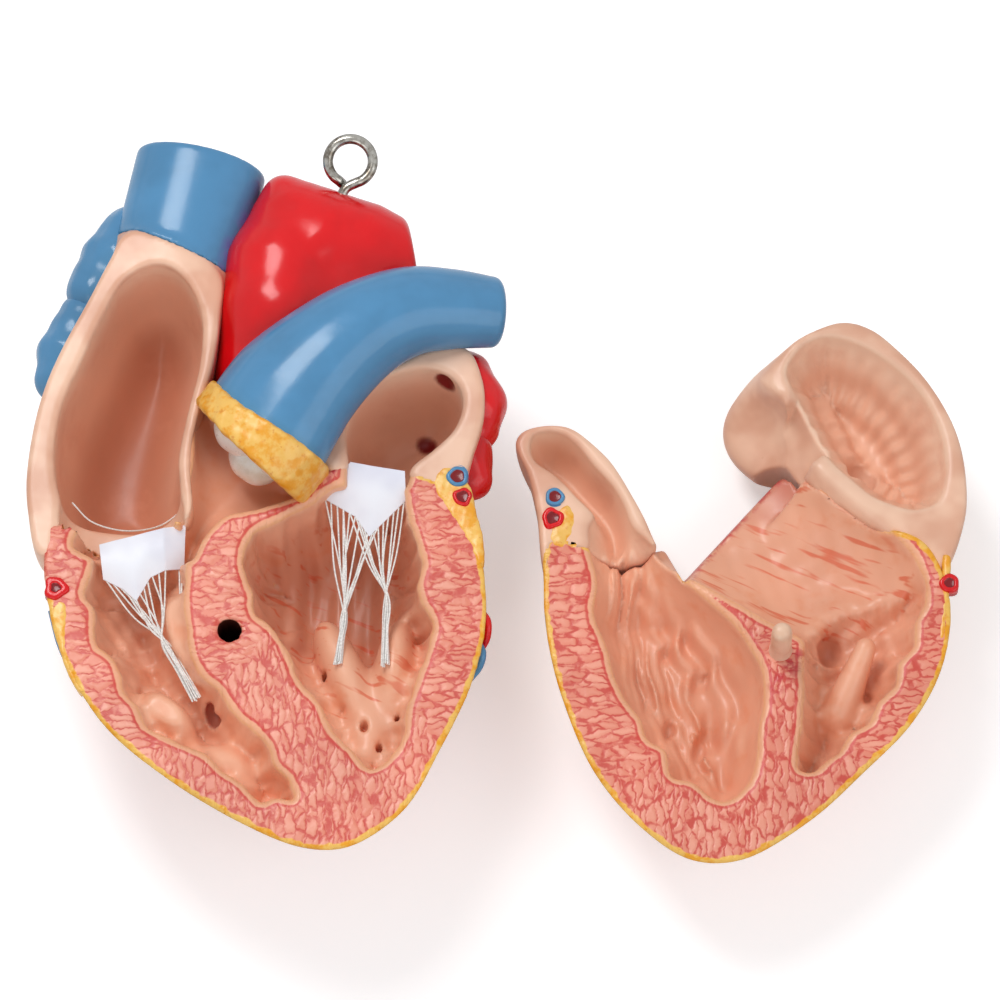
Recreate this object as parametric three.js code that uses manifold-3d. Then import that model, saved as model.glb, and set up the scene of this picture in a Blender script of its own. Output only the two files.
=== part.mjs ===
// A two-part teaching model of the human heart, lying open on a table.
// The heart is cut in a plane that shows all four chambers. The rear half lies on its back with the
// great vessels and a steel screw eye, and the front half lies turned over to its right.
// Both halves are modelled in the closed position, in the frame of the rear half, with the cut plane
// at z = 0, the vessels towards +Y and the front of the heart towards +Z. The front half is then
// turned over about a line beside the rear half. Units are millimetres.
import * as THREE from 'three';
import { mergeVertices } from 'three/addons/utils/BufferGeometryUtils.js';
import Module from 'manifold-3d';

const wasm = await Module();
wasm.setup();

// Driving dimensions
const rearDepth = 40;
const frontDepth = 29;
const faceGap = 0.3;
const pieceGap = 0.3;
const grooveGap = 0.6;
const turnLineX = 44.6;
const restFlat = 0.5;
const atriumWall = 3.4;

// Locating peg and its socket
const pegAt = [-4.9, -5.6];
const pegRadius = 1.9;
const pegLength = 11;
const pegRoot = 6;
const pegClearance = 0.55;
const socketExtraDepth = 1.5;

// Chamber depths below the cut plane
const rightVentricleDepth = 23;
const leftVentricleDepth = 25;
const rightAtriumDepth = 28;
const leftAtriumDepth = 24;
const outflowDepth = 10;
const frontLeftVentricleDepth = 18;
const frontRightVentricleDepth = 17;
const conusDepth = 12;
const rightAuricleDepth = 20;
const leftAuricleDepth = 14;

// Great vessels: half widths along their lines
const aortaRadii = [8.3, 8.6, 9.8, 10.6, 9.6, 7.4];
const trunkHalfWidths = [12.8, 11.8, 10.2, 8.9, 7.6, 6.3];
const trunkHalfHeights = [10.5, 10, 9.4, 8.4, 7.2, 6];
const trunkRoll = -0.35;
const cavaHalfWidth = 11.4;
const cavaHalfHeight = 9;

// Valve ring, cusps, leaflets and threads
const ringThickness = 3.2;
const ringLength = 4.2;
const cuspWall = 0.9;
const cuspRadius = 4.8;
const leafletThickness = 1.2;
const threadRadius = 0.35;
const threadSides = 4;

// Screw eye
const eyeWireRadius = 0.95;
const eyeRingRadius = 4.1;
const eyeShankLength = 9;
const eyeHoleClearance = 0.3;

// Surface vessels
const arteryRadius = 1.7;
const veinRadius = 1.9;

// Outlines at the cut plane, in the closed position
const rearVentricleOutline = [
  [-38, 1.1], [-35.3, -9.6], [-27.5, -23.4], [-15.8, -33.7], [-2.3, -42.1], [8.3, -46.5],
  [16.6, -46.5], [26.6, -39.6], [33.1, -28.2], [38.9, -15.3], [41.4, -3.1], [40.5, 8.6],
  [38.2, 19.1], [30.1, 24.1], [16.7, 26.6], [10.4, 24.2], [0.7, 30.5], [-9.5, 37.5],
  [-13, 26.8], [-13.4, 17.2], [-24.7, 13.4], [-34.6, 14.6], [-38.2, 8.4],
];
const rightAtriumOutline = [
  [-24.3, 71], [-13.5, 66.3], [-7.4, 62.8], [-7.4, 55.2], [-8.5, 46], [-10.5, 38.3],
  [-11, 27.8], [-11, 15], [-19.4, 11], [-28.4, 10], [-36, 10.5], [-40, 12],
  [-41.6, 17], [-41.8, 23.9], [-40.5, 34.5], [-38.5, 42.1], [-35.6, 49.2], [-31.3, 57.8],
  [-27.4, 65.9],
];
const rightAtriumOpening = [
  [-19.4, 64.5], [-15.7, 63.6], [-12.8, 60.5], [-10.6, 54.8], [-10.8, 45.6], [-12.8, 36.5],
  [-14.6, 27.5], [-14.6, 20.5], [-20, 17.2], [-27, 17.2], [-35, 20.5], [-37.2, 27.5],
  [-36, 37.3], [-32.6, 46], [-28.8, 55], [-24.7, 61.9],
];
const leftAtriumOutline = [
  [23.9, 45], [30.6, 48.1], [37.4, 48.6], [40.3, 42.9], [40.7, 36], [39, 29.3],
  [36, 22], [28, 20], [18, 21], [12, 26], [11, 34], [15, 42],
];
const leftAtriumOpening = [
  [24.8, 43.3], [31, 44.4], [35.5, 42.1], [36.9, 38.3], [35.6, 32.9], [31.7, 28.9],
  [26.3, 27.4], [20.5, 28.4], [17.6, 33], [19.5, 39.4],
];
const leftVentricleOpening = [
  [-0.4, 13.2], [-2.2, 5.7], [-1.3, -2.1], [4.9, -10.3], [10.1, -20.1], [16.6, -28.5],
  [21.6, -33.3], [26.6, -27.2], [28.8, -12.3], [32, -2.5], [30.4, 8], [26.8, 19.6],
  [18.4, 21.8], [7.6, 19.4],
];
const rightVentricleOpening = [
  [-33.6, 8], [-31.7, 3.4], [-29.5, -6.7], [-24.1, -17.4], [-17.5, -26.2], [-6.7, -32.2],
  [1.1, -37.4], [5.6, -36.4], [2.5, -27.2], [-2.8, -21.6], [-9.7, -13.8], [-12.1, -3.8],
  [-11.2, 6], [-13.5, 12.4], [-24.7, 9.2],
];
const outflowOpening = [
  [-9.2, 39.5], [2, 32], [9.7, 22.6], [0.4, 18], [-5.8, 16.5], [-9.7, 11.8],
  [-12, 13.5], [-11.6, 26.4],
];
const frontVentricleOutline = [
  [29.5, 14.6], [22.3, 14], [16.2, 12.4], [12.4, 9.2], [2.5, 18.6], [-6.7, 27.4],
  [-10.1, 27], [-15.5, 24.7], [-22.7, 20.9], [-30.8, 16.5], [-34.4, 10], [-36, 2.1],
  [-34.2, -9], [-28.8, -19.3], [-19.6, -29.1], [-9.9, -38.1], [2.5, -45.4], [11.5, -45.4],
  [20.2, -39.6], [28.8, -29.1], [34.6, -15.1], [37.3, -3.6], [38, 6.9], [36.9, 15.9],
];
const rightAuricleOutline = [
  [-34.4, 10], [-38.7, 19.7], [-39.1, 28.2], [-37.4, 37.2], [-32.8, 46.2], [-27.5, 52.5],
  [-22.3, 56.9], [-17.8, 58.4], [-11.9, 56.7], [-5.9, 52.9], [-2.3, 48.3], [-0.7, 43.7],
  [3.2, 40], [4.5, 36.2], [1.3, 28.2], [-6.5, 24], [-17.3, 20], [-29, 13],
];
const rightAuricleOpening = [
  [-10.4, 50], [-11.6, 53], [-14.5, 55], [-18.4, 55.6], [-23.4, 53.2], [-27.7, 49],
  [-31.7, 43.7], [-34.6, 36.6], [-36, 29.9], [-35.4, 25.5], [-32, 22.6], [-28.4, 22.8],
  [-23.4, 24.2], [-20, 27], [-17.2, 31.4], [-15, 36.5], [-13.2, 41], [-11.4, 45.5],
];
const leftAuricleOutline = [
  [42.8, 34.3], [41.8, 36.4], [38.5, 37.7], [33.3, 37.5], [28.8, 34.3], [23.4, 28.2],
  [20.2, 22.4], [18.4, 17.4], [16.2, 11], [22, 9], [30, 10], [37.5, 12],
  [39, 21.3], [40.5, 28.2],
];
const leftAuricleOpening = [
  [40.3, 33.8], [36.4, 35.4], [32.4, 34.4], [28.1, 29.8], [24.5, 24.5], [22.9, 19.6],
  [24.5, 17], [27.6, 18.4], [31.9, 22.6], [36.4, 27.6],
];
const frontLeftVentricleOpening = [
  [29.7, 12], [30, 4], [29, -3], [25.4, -8], [22.4, -15.2], [15.7, -25.5],
  [11.5, -31.5], [5.8, -34.3], [0.5, -29.1], [-1.4, -16.1], [0, -8], [3.2, -0.8],
  [9, 4.2], [18, 9],
];
const frontRightVentricleOpening = [
  [-9.4, -5.4], [-9.9, -13.2], [-8.6, -27.6], [-13.1, -26.2], [-18.4, -20.7], [-24.5, -12.8],
  [-28.5, -2], [-30.6, 5.2], [-26, 7], [-15.5, 6], [-10.6, 1],
];
const conusOpening = [
  [-9, 22.4], [-17.3, 20.4], [-28.6, 11.8], [-28.8, 6.6], [-24.5, 3], [-15.5, 3],
  [-9.5, 0.2], [-2, 5.4], [8.4, 7.6], [0.6, 14.2],
];

// Turn an outline into an even, counter-clockwise loop of points
function smoothLoop(outline, count) {
  const points = outline.map(([x, y]) => new THREE.Vector3(x, y, 0));
  const curve = new THREE.CatmullRomCurve3(points, true, 'centripetal');
  const loop = curve.getSpacedPoints(count).slice(0, count).map((p) => new THREE.Vector2(p.x, p.y));
  return THREE.ShapeUtils.area(loop) < 0 ? loop.reverse() : loop;
}

// Move every point of a loop outwards, along the normal of its neighbours
function offsetLoop(loop, distance) {
  return loop.map((point, i) => {
    const before = loop[(i + loop.length - 1) % loop.length];
    const after = loop[(i + 1) % loop.length];
    const along = after.clone().sub(before).normalize();
    return new THREE.Vector2(point.x + along.y * distance, point.y - along.x * distance);
  });
}

function loopCentre(loop) {
  const centre = new THREE.Vector2();
  loop.forEach((point) => centre.add(point));
  return centre.divideScalar(loop.length);
}

// Close a stack of rings with a flat cap at each end
function stackGeometry(rings, capShape) {
  const count = rings[0].length;
  const positions = rings.flat().flatMap((p) => [p.x, p.y, p.z]);
  const index = [];
  for (let ring = 0; ring < rings.length - 1; ring++) {
    for (let i = 0; i < count; i++) {
      const next = (i + 1) % count;
      const a = ring * count + i;
      const b = ring * count + next;
      index.push(a, a + count, b + count, a, b + count, b);
    }
  }
  const last = (rings.length - 1) * count;
  for (const [a, b, c] of THREE.ShapeUtils.triangulateShape(capShape, [])) {
    index.push(a, b, c, last + a, last + c, last + b);
  }
  const geometry = new THREE.BufferGeometry();
  geometry.setAttribute('position', new THREE.Float32BufferAttribute(positions, 3));
  geometry.setIndex(index);
  return geometry;
}

function solidOf(geometry) {
  const bare = geometry.clone();
  bare.deleteAttribute('normal');
  bare.deleteAttribute('uv');
  const merged = mergeVertices(bare, 1e-5);
  const mesh = new wasm.Mesh({
    numProp: 3,
    vertProperties: new Float32Array(merged.attributes.position.array),
    triVerts: new Uint32Array(merged.index.array),
  });
  return new wasm.Manifold(mesh);
}

// One point of a dome: at the place `turn` (0 to 1) round its loop and `way` (0 rim to 1 crown)
function domePoint(loop, centre, depth, fullness, index, way) {
  const angle = (way * Math.PI) / 2;
  const scale = Math.cos(angle) ** (2 / fullness);
  const drop = Math.sin(angle) ** (2 / fullness);
  const point = loop[index];
  return new THREE.Vector3(
    centre.x + (point.x - centre.x) * scale,
    centre.y + (point.y - centre.y) * scale,
    -depth * drop,
  );
}

// A bowl-shaped solid below its outline: `rise` carries the outline straight up above the cut plane
function dome(spec, grow = 0) {
  const { outline, depth, count = 40, rings = 7, fullness = 2.3, rise = 0, crown = 0.93 } = spec;
  const loop = offsetLoop(smoothLoop(outline, count), grow);
  const centre = spec.centre ? new THREE.Vector2(...spec.centre) : loopCentre(loop);
  const stack = [];
  if (rise > 0) {
    stack.push(loop.map((p) => new THREE.Vector3(p.x, p.y, rise)));
  }
  for (let ring = 0; ring <= rings; ring++) {
    const way = (crown * ring) / rings;
    stack.push(loop.map((p, i) => domePoint(loop, centre, depth + grow, fullness, i, way)));
  }
  return solidOf(stackGeometry(stack, loop));
}

// Turn a solid made below the cut plane into one above it
function aboveCut(solid) {
  return solid.mirror([0, 0, 1]).translate([0, 0, faceGap]);
}

function slab(outline, bottom, top, count = 40) {
  const shape = new THREE.Shape(smoothLoop(outline, count));
  const geometry = new THREE.ExtrudeGeometry(shape, { depth: top - bottom, bevelEnabled: false });
  return solidOf(geometry.translate(0, 0, bottom));
}

function block(low, high) {
  const size = high.map((value, i) => value - low[i]);
  const middle = high.map((value, i) => (value + low[i]) / 2);
  return solidOf(new THREE.BoxGeometry(...size).translate(...middle));
}

function pebble(at, radii, turn = 0, grow = 0, detail = 10) {
  const geometry = new THREE.SphereGeometry(1, detail, Math.round(detail * 0.6));
  geometry.rotateX(Math.PI / 2);
  geometry.scale(radii[0] + grow, radii[1] + grow, radii[2] + grow);
  geometry.rotateZ(turn);
  return solidOf(geometry.translate(...at));
}

function valueAlong(values, t) {
  if (typeof values === 'number') {
    return values;
  }
  const points = values.map((value, i) => new THREE.Vector2(i, value));
  return new THREE.SplineCurve(points).getPoint(t).y;
}

// A vessel lofted along a line, with an oval section that may change along it
function vessel(spec, grow = 0) {
  const { line, across, up = across, roll = 0, sides = 16, steps = 9 } = spec;
  const curve = new THREE.CatmullRomCurve3(line.map((p) => new THREE.Vector3(...p)), false, 'centripetal');
  const section = Array.from({ length: sides }, (_, i) => {
    const angle = (2 * Math.PI * i) / sides;
    return new THREE.Vector2(Math.cos(angle), Math.sin(angle));
  });
  const rings = [];
  const first = curve.getTangent(0);
  const reference = Math.abs(first.z) > 0.95 ? new THREE.Vector3(0, 1, 0) : new THREE.Vector3(0, 0, 1);
  let side = first.clone().cross(reference).normalize().applyAxisAngle(first, roll);
  for (let step = 0; step <= steps; step++) {
    const t = step / steps;
    const tangent = curve.getTangent(t);
    side = side.addScaledVector(tangent, -side.dot(tangent)).normalize();
    const top = side.clone().cross(tangent);
    const end = step === 0 ? -grow : step === steps ? grow : 0;
    const middle = curve.getPoint(t).addScaledVector(tangent, end);
    const width = valueAlong(across, t) + grow;
    const height = valueAlong(up, t) + grow;
    rings.push(section.map((s) => middle.clone()
      .addScaledVector(side, s.x * width)
      .addScaledVector(top, s.y * height)));
  }
  return solidOf(stackGeometry(rings, section));
}

function union(solids) {
  return solids.reduce((whole, solid) => whole.add(solid));
}

function largestBody(solid) {
  const bodies = solid.decompose();
  return bodies.reduce((best, body) => (body.volume() > best.volume() ? body : best));
}

const colours = {
  myocardium: [0xd98872, 0.42],
  atrium: [0xe3b59a, 0.4],
  blue: [0x4f86ad, 0.25],
  red: [0xc81e24, 0.2],
  fat: [0xe6b04a, 0.45],
  cusp: [0xe4ded2, 0.5],
  leaflet: [0xe8e8ef, 0.55],
  thread: [0xf1efe8, 0.7],
  peg: [0xecc5a6, 0.45],
};

function finish(name) {
  const [color, roughness] = colours[name];
  return new THREE.MeshStandardMaterial({ color, roughness, metalness: 0 });
}

function addMesh(group, name, solid, material) {
  const body = largestBody(solid);
  const { vertProperties, triVerts } = body.getMesh();
  const geometry = new THREE.BufferGeometry();
  geometry.setAttribute('position', new THREE.BufferAttribute(new Float32Array(vertProperties), 3));
  geometry.setIndex(new THREE.BufferAttribute(new Uint32Array(triVerts), 1));
  const mesh = new THREE.Mesh(geometry, material);
  mesh.name = name;
  group.add(mesh);
}

// Specifications of the domes
const rearVentricles = { outline: rearVentricleOutline, depth: rearDepth, count: 44, rings: 6, centre: [2, -4] };
const rightAtrium = { outline: rightAtriumOutline, depth: rearDepth, count: 32, rings: 6, centre: [-25, 38] };
const leftAtrium = { outline: leftAtriumOutline, depth: rearDepth, count: 24, rings: 6, centre: [27, 34] };
const frontVentricles = {
  outline: frontVentricleOutline, depth: frontDepth, count: 44, rings: 6, centre: [0, -9],
};
const rightAuricle = { outline: rightAuricleOutline, depth: frontDepth - 3, count: 34, rings: 6, centre: [-17, 36] };
const leftAuricle = { outline: leftAuricleOutline, depth: frontDepth - 7, count: 24, rings: 6, centre: [31, 23] };

function opening(outline, depth, extra = {}) {
  return { outline, depth, count: 26, rings: 4, rise: 2, fullness: 2.6, crown: 0.88, ...extra };
}

// Great vessels of the rear half
const aortaLine = [[1, 36, -17], [-0.5, 49, -10], [2, 60, -5], [9.7, 67.5, -2], [19, 67.5, -5], [27, 64, -13]];
const trunkLine = [[1.4, 31.5, 0.5], [7.4, 39, 2.5], [17.1, 48.8, 4], [26.1, 54, 3.4], [34.6, 55.4, 1.6], [43.8, 55.6, -0.4]];
const cavaLine = [[-16.5, 62, -10], [-14.4, 73, -8], [-11, 84.2, -8]];

function aorta(grow = 0) {
  return vessel({ line: aortaLine, across: aortaRadii, steps: 10 }, grow);
}

function pulmonaryTrunk(grow = 0) {
  return vessel({
    line: trunkLine, across: trunkHalfWidths, up: trunkHalfHeights, roll: trunkRoll, steps: 9, sides: 20,
  }, grow);
}

// A slice of the trunk's line past its mouth, from `from` to `to` millimetres, as an oval tube
function trunkMouthSlice(from, to, extraWidth, grow = 0) {
  const [first, second] = trunkLine.map((p) => new THREE.Vector3(...p));
  const out = first.clone().sub(second).normalize();
  const line = [
    first.clone().addScaledVector(out, from).toArray(),
    first.clone().addScaledVector(out, to).toArray(),
  ];
  return vessel({
    line: line.reverse(),
    across: trunkHalfWidths[0] + extraWidth,
    up: trunkHalfHeights[0] + extraWidth,
    roll: trunkRoll,
    sides: 24,
    steps: 1,
  }, grow);
}

function fatRing(grow = 0) {
  const outer = trunkMouthSlice(pieceGap, pieceGap + ringLength, 1.2, grow);
  const bore = trunkMouthSlice(pieceGap - 1, pieceGap + ringLength + 1, 1.2 - ringThickness, -grow);
  return outer.subtract(bore);
}

function superiorCava(grow = 0) {
  return vessel({ line: cavaLine, across: cavaHalfWidth, up: cavaHalfHeight, steps: 6 }, grow);
}

// Everything of the great vessels, a little larger, for the pieces that are cut to fit them
function greatVessels(grow) {
  return union([aorta(grow), pulmonaryTrunk(grow), trunkMouthSlice(0, pieceGap + ringLength, 1.2, grow)]);
}

// The frame of the trunk's mouth: its middle, the way out, and the two directions across it
function mouthFrame() {
  const [first, second] = trunkLine.map((p) => new THREE.Vector3(...p));
  const out = first.clone().sub(second).normalize();
  const side = out.clone().negate().cross(new THREE.Vector3(0, 0, 1)).normalize();
  const top = side.clone().cross(out.clone().negate()).normalize();
  side.applyAxisAngle(out, -trunkRoll);
  top.applyAxisAngle(out, -trunkRoll);
  return { first, out, side, top };
}

// One pocket-shaped cusp: a thin bowl that hangs out of the ring and opens into the trunk
function cusp(across, upward, radius, grow = 0) {
  const { first, out, side, top } = mouthFrame();
  const middle = first.clone()
    .addScaledVector(side, across)
    .addScaledVector(top, upward)
    .addScaledVector(out, ringLength - 1.8);
  const bowl = pebble(middle.toArray(), [radius, radius, radius], 0, grow, 12);
  const hollowAt = middle.clone().addScaledVector(out, -2.2).toArray();
  return bowl.subtract(pebble(hollowAt, [radius, radius, radius], 0, 0.6 - grow, 12));
}

// Rear half: muscle with both ventricles opened
function ventricleShell(grow = 0) {
  const body = dome(rearVentricles, grow);
  const left = dome(opening(leftVentricleOpening, leftVentricleDepth), -grow);
  const right = dome(opening(rightVentricleOpening, rightVentricleDepth), -grow);
  const outflow = dome(opening(outflowOpening, outflowDepth, { count: 24, rings: 4 }), -grow);
  return body.subtract(union([left, right, outflow]));
}

const rearPapillaries = [
  { at: [15.6, -15, -17], radii: [4.2, 9.5, 10], turn: 0.35 },
  { at: [24.6, -13, -16], radii: [3.8, 9.5, 9], turn: -0.1 },
  { at: [-13.8, -20, -13], radii: [3.8, 5.5, 8], turn: 0.5 },
];

function papillaryMuscles(grow = 0) {
  return union(rearPapillaries.map(({ at, radii, turn }) => pebble(at, radii, turn, grow)));
}

const socketRadius = pegRadius + pegClearance;
const socketDepth = pegLength + socketExtraDepth;

function pegShape(radius, length, root) {
  const tip = radius * 0.8;
  const arc = Array.from({ length: 5 }, (_, i) => {
    const angle = (Math.PI / 2) * (i / 4);
    return new THREE.Vector2(tip * Math.cos(angle), length - tip + tip * Math.sin(angle));
  });
  arc[4].x = 0;
  const foot = [new THREE.Vector2(0, -root), new THREE.Vector2(radius, -root), new THREE.Vector2(radius, 0)];
  return solidOf(new THREE.LatheGeometry([...foot, ...arc], 20).rotateX(Math.PI / 2));
}

function socket() {
  const bore = new THREE.CylinderGeometry(socketRadius, socketRadius, socketDepth + 1, 24).rotateX(Math.PI / 2);
  return solidOf(bore.translate(pegAt[0], pegAt[1], 0.5 - socketDepth / 2));
}

// Depth of a dome's outer surface under a place in the cut plane
function surfaceDepth(spec, x, y) {
  const loop = smoothLoop(spec.outline, spec.count);
  const [cx, cy] = spec.centre;
  const angle = Math.atan2(y - cy, x - cx);
  const nearest = loop.reduce((best, point) => {
    const turn = Math.abs(Math.atan2(Math.sin(Math.atan2(point.y - cy, point.x - cx) - angle),
      Math.cos(Math.atan2(point.y - cy, point.x - cx) - angle)));
    return turn < best.turn ? { turn, reach: Math.hypot(point.x - cx, point.y - cy) } : best;
  }, { turn: Infinity, reach: 1 });
  const share = Math.min(0.999, Math.hypot(x - cx, y - cy) / nearest.reach);
  const fullness = spec.fullness ?? 2.3;
  return spec.depth * (1 - share ** fullness) ** (1 / fullness);
}

// A vessel that runs over a dome by its route in plan and leaves the cut face at its first point
function surfaceVessel(spec, route, radius, grow = 0, steps = 12) {
  const [start, ...rest] = route;
  const bend = start.map((value, i) => value + 0.3 * (rest[0][i] - value));
  const line = [[...start, 1.5], [...bend, -3.5]];
  rest.forEach(([x, y]) => {
    const depth = Math.min(surfaceDepth(spec, x, y), spec.depth - restFlat - radius);
    line.push([x, y, -Math.max(depth, 4)]);
  });
  return vessel({ line, across: radius, steps, sides: 7 }, grow);
}

const rightCoronaryRoute = [[-36.1, 2.3], [-35, 6], [-30, 10], [-21, 13], [-11, 13], [-1, 11.5], [6, 4], [8, -8], [8, -20], [8, -30]];
const sinusRoute = [[36, 24], [34, 19], [27, 15.5], [17, 16], [7, 17.5], [-3, 18]];
const circumflexRoute = [[37.4, 19.2], [38, 13], [36.5, 3], [33, -9]];
const descendingRoute = [[36.1, 19.7], [31, 12], [24, 7.5], [16, 3], [10, -8], [6, -20], [6, -32]];
const greatVeinRoute = [[35.7, 23.9], [30, 17], [23, 11.5], [13, 5], [6, -6], [2.4, -20]];
const frontRightCoronaryRoute = [[-35.4, 7.1], [-31, 15], [-24, 19.5], [-16, 22]];

// A pad of fat set into the muscle at the cut face
function fatPad(outline, depth, grow = 0) {
  return dome({ outline, depth, count: 20, rings: 3, fullness: 2.4 }, grow);
}

const leftGrooveFat = [
  [34.5, 21], [32, 20], [33.3, 16], [36.2, 12], [38.6, 8.6], [39.8, 9], [39.6, 13], [38.9, 16.5],
];
const rightGrooveFat = [[-36.4, -2], [-34, -1.4], [-32, -11.6], [-33.6, -12.8]];
const frontLeftGrooveFat = [[33.6, 22], [36.6, 16.6], [36.4, 14.4], [34.4, 13.6], [32.6, 17], [32, 20.8]];
const frontRightGrooveFat = [[-36.4, 12.6], [-34, 12.4], [-33.2, 10.2], [-35.4, 9.8]];

// A thin valve leaflet, hinged down from its upper edge
function leaflet(outline, hinge, tilt, thickness, grow = 0) {
  const loop = offsetLoop(smoothLoop(outline, 26), grow);
  const geometry = new THREE.ExtrudeGeometry(new THREE.Shape(loop), {
    depth: thickness + 2 * grow, bevelEnabled: false,
  });
  geometry.translate(-hinge[0], -hinge[1], -thickness - grow);
  geometry.rotateX(tilt);
  return solidOf(geometry.translate(...hinge));
}

const mitralHinge = [21, 25.5, -2.5];
const mitralOutline = [[14.6, 29], [28.2, 26.6], [26.3, 19.5], [20, 12.4], [17.5, 16.1], [11, 21.4]];
const tricuspidHinge = [-21, 13, -2];
const tricuspidOutline = [
  [-30.4, 15], [-11.6, 16.4], [-13.3, 6.5], [-16.7, 5.7], [-19.3, 4.4], [-21.8, 0], [-24.1, 2.1], [-28.4, 4.6],
];
const leafletTilt = 0.32;

function mitralLeaflet(grow = 0) {
  return leaflet(mitralOutline, mitralHinge, leafletTilt, leafletThickness, grow);
}

function tricuspidLeaflet(grow = 0) {
  return leaflet(tricuspidOutline, tricuspidHinge, leafletTilt, leafletThickness, grow);
}

// A place on a tilted leaflet under a point of its outline
function onLeaflet(hinge, [x, y]) {
  const reach = y - hinge[1];
  return [x, hinge[1] + reach * Math.cos(leafletTilt), hinge[2] + reach * Math.sin(leafletTilt)];
}

// Threads that run from the free edge of a leaflet to one knot on a papillary muscle
function chordae(hinge, starts, knot, grow = 0) {
  const threads = starts.map((start) => {
    const top = onLeaflet(hinge, start);
    const middle = top.map((value, i) => (value + knot[i]) / 2 + (i === 2 ? -0.8 : 0));
    return vessel({ line: [top, middle, knot], across: threadRadius, sides: threadSides, steps: 3 }, grow);
  });
  return union([...threads, pebble(knot, [0.9, 1.3, 0.9], 0, grow, 8)]);
}

// The screw eye: a bent ring with its shank, which screws into the top of the aorta
const eyeCentre = [16.4, 84.6, -1];
const eyeDirection = new THREE.Vector3(-0.3, -0.954, -0.05).normalize();

function eyeShank(radius) {
  const bottom = new THREE.Vector3(...eyeCentre).addScaledVector(eyeDirection, eyeRingRadius);
  const end = bottom.clone().addScaledVector(eyeDirection, eyeShankLength);
  return vessel({ line: [bottom.toArray(), end.toArray()], across: radius, sides: 12, steps: 1 });
}

function screwEye() {
  const start = Math.atan2(eyeDirection.y, eyeDirection.x);
  const line = Array.from({ length: 17 }, (_, i) => {
    const angle = start + (i / 16) * 2 * Math.PI * 0.93;
    return [
      eyeCentre[0] + eyeRingRadius * Math.cos(angle),
      eyeCentre[1] + eyeRingRadius * Math.sin(angle),
      eyeCentre[2],
    ];
  });
  return vessel({ line, across: eyeWireRadius, sides: 8, steps: 24 }).add(eyeShank(eyeWireRadius));
}

// Stumps of the lung vessels, as rounded lobes beside the atria
const rightLungStumps = {
  upper_right_pulmonary_artery: [[-27.6, 64.5, -12], [6.4, 11, 9], -0.5],
  lower_right_pulmonary_artery: [[-34.6, 47, -13], [5.2, 10, 9], -0.35],
};
const leftLungStumps = {
  upper_left_pulmonary_vein: [[38.6, 41.6, -8], [6.6, 7.4, 6.6], 0],
  lower_left_pulmonary_vein: [[36.6, 28.4, -9], [5.6, 6.4, 6.4], 0],
};

const rearHalf = new THREE.Group();
rearHalf.name = 'rear_half';
rearHalf.position.z = rearDepth - restFlat;
const rearFloor = block([-90, -90, -rearDepth - 20], [90, 120, -rearDepth + restFlat]);
const aboveFace = block([-90, -90, 0], [90, 120, 30]);

const rearSurface = (grow) => union([
  surfaceVessel(rearVentricles, rightCoronaryRoute, arteryRadius, grow),
  surfaceVessel(rearVentricles, sinusRoute, veinRadius, grow),
  surfaceVessel(rearVentricles, circumflexRoute, arteryRadius, grow),
  fatPad(leftGrooveFat, 6, grow),
  fatPad(rightGrooveFat, 5, grow),
]);

addMesh(rearHalf, 'rear_ventricles', ventricleShell()
  .add(papillaryMuscles().intersect(dome(rearVentricles)))
  .subtract(union([greatVessels(pieceGap), rearSurface(grooveGap), socket(), rearFloor])), finish('myocardium'));

addMesh(rearHalf, 'aorta', aorta()
  .subtract(pulmonaryTrunk(pieceGap))
  .subtract(trunkMouthSlice(0, pieceGap + ringLength, 1.2, pieceGap))
  .subtract(eyeShank(eyeWireRadius + eyeHoleClearance)), finish('red'));
addMesh(rearHalf, 'pulmonary_trunk', pulmonaryTrunk(), finish('blue'));
addMesh(rearHalf, 'pulmonary_fat_ring', fatRing(), finish('fat'));

const cusps = { left_pulmonary_cusp: [-5.6, 1.6], right_pulmonary_cusp: [5.2, 1.6], rear_pulmonary_cusp: [0, -4.2] };
let laterCusps = fatRing(pieceGap).add(pulmonaryTrunk(pieceGap));
for (const [name, [across, upward]] of Object.entries(cusps)) {
  addMesh(rearHalf, name, cusp(across, upward, cuspRadius)
    .subtract(laterCusps)
    .subtract(ventricleShell(pieceGap)), finish('cusp'));
  laterCusps = laterCusps.add(cusp(across, upward, cuspRadius, pieceGap));
}

const atriumNeighbours = union([
  dome(rearVentricles, pieceGap), greatVessels(pieceGap), superiorCava(pieceGap), rearSurface(grooveGap), rearFloor,
]);
addMesh(rearHalf, 'right_atrium', dome(rightAtrium)
  .subtract(dome(opening(rightAtriumOpening, rightAtriumDepth)))
  .subtract(atriumNeighbours), finish('atrium'));
addMesh(rearHalf, 'left_atrium', dome(leftAtrium)
  .subtract(dome(opening(leftAtriumOpening, leftAtriumDepth)))
  .subtract(atriumNeighbours), finish('atrium'));
addMesh(rearHalf, 'superior_vena_cava', superiorCava().subtract(aorta(pieceGap)), finish('blue'));

let lungNeighbours = union([
  dome(rightAtrium, pieceGap), dome(leftAtrium, pieceGap), atriumNeighbours, rearFloor, aboveFace,
]);
for (const [name, [at, radii, turn]] of Object.entries({ ...rightLungStumps, ...leftLungStumps })) {
  addMesh(rearHalf, name, pebble(at, radii, turn, 0, 14).subtract(lungNeighbours),
    finish(name in rightLungStumps ? 'blue' : 'red'));
  lungNeighbours = lungNeighbours.add(pebble(at, radii, turn, pieceGap, 14));
}

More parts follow.
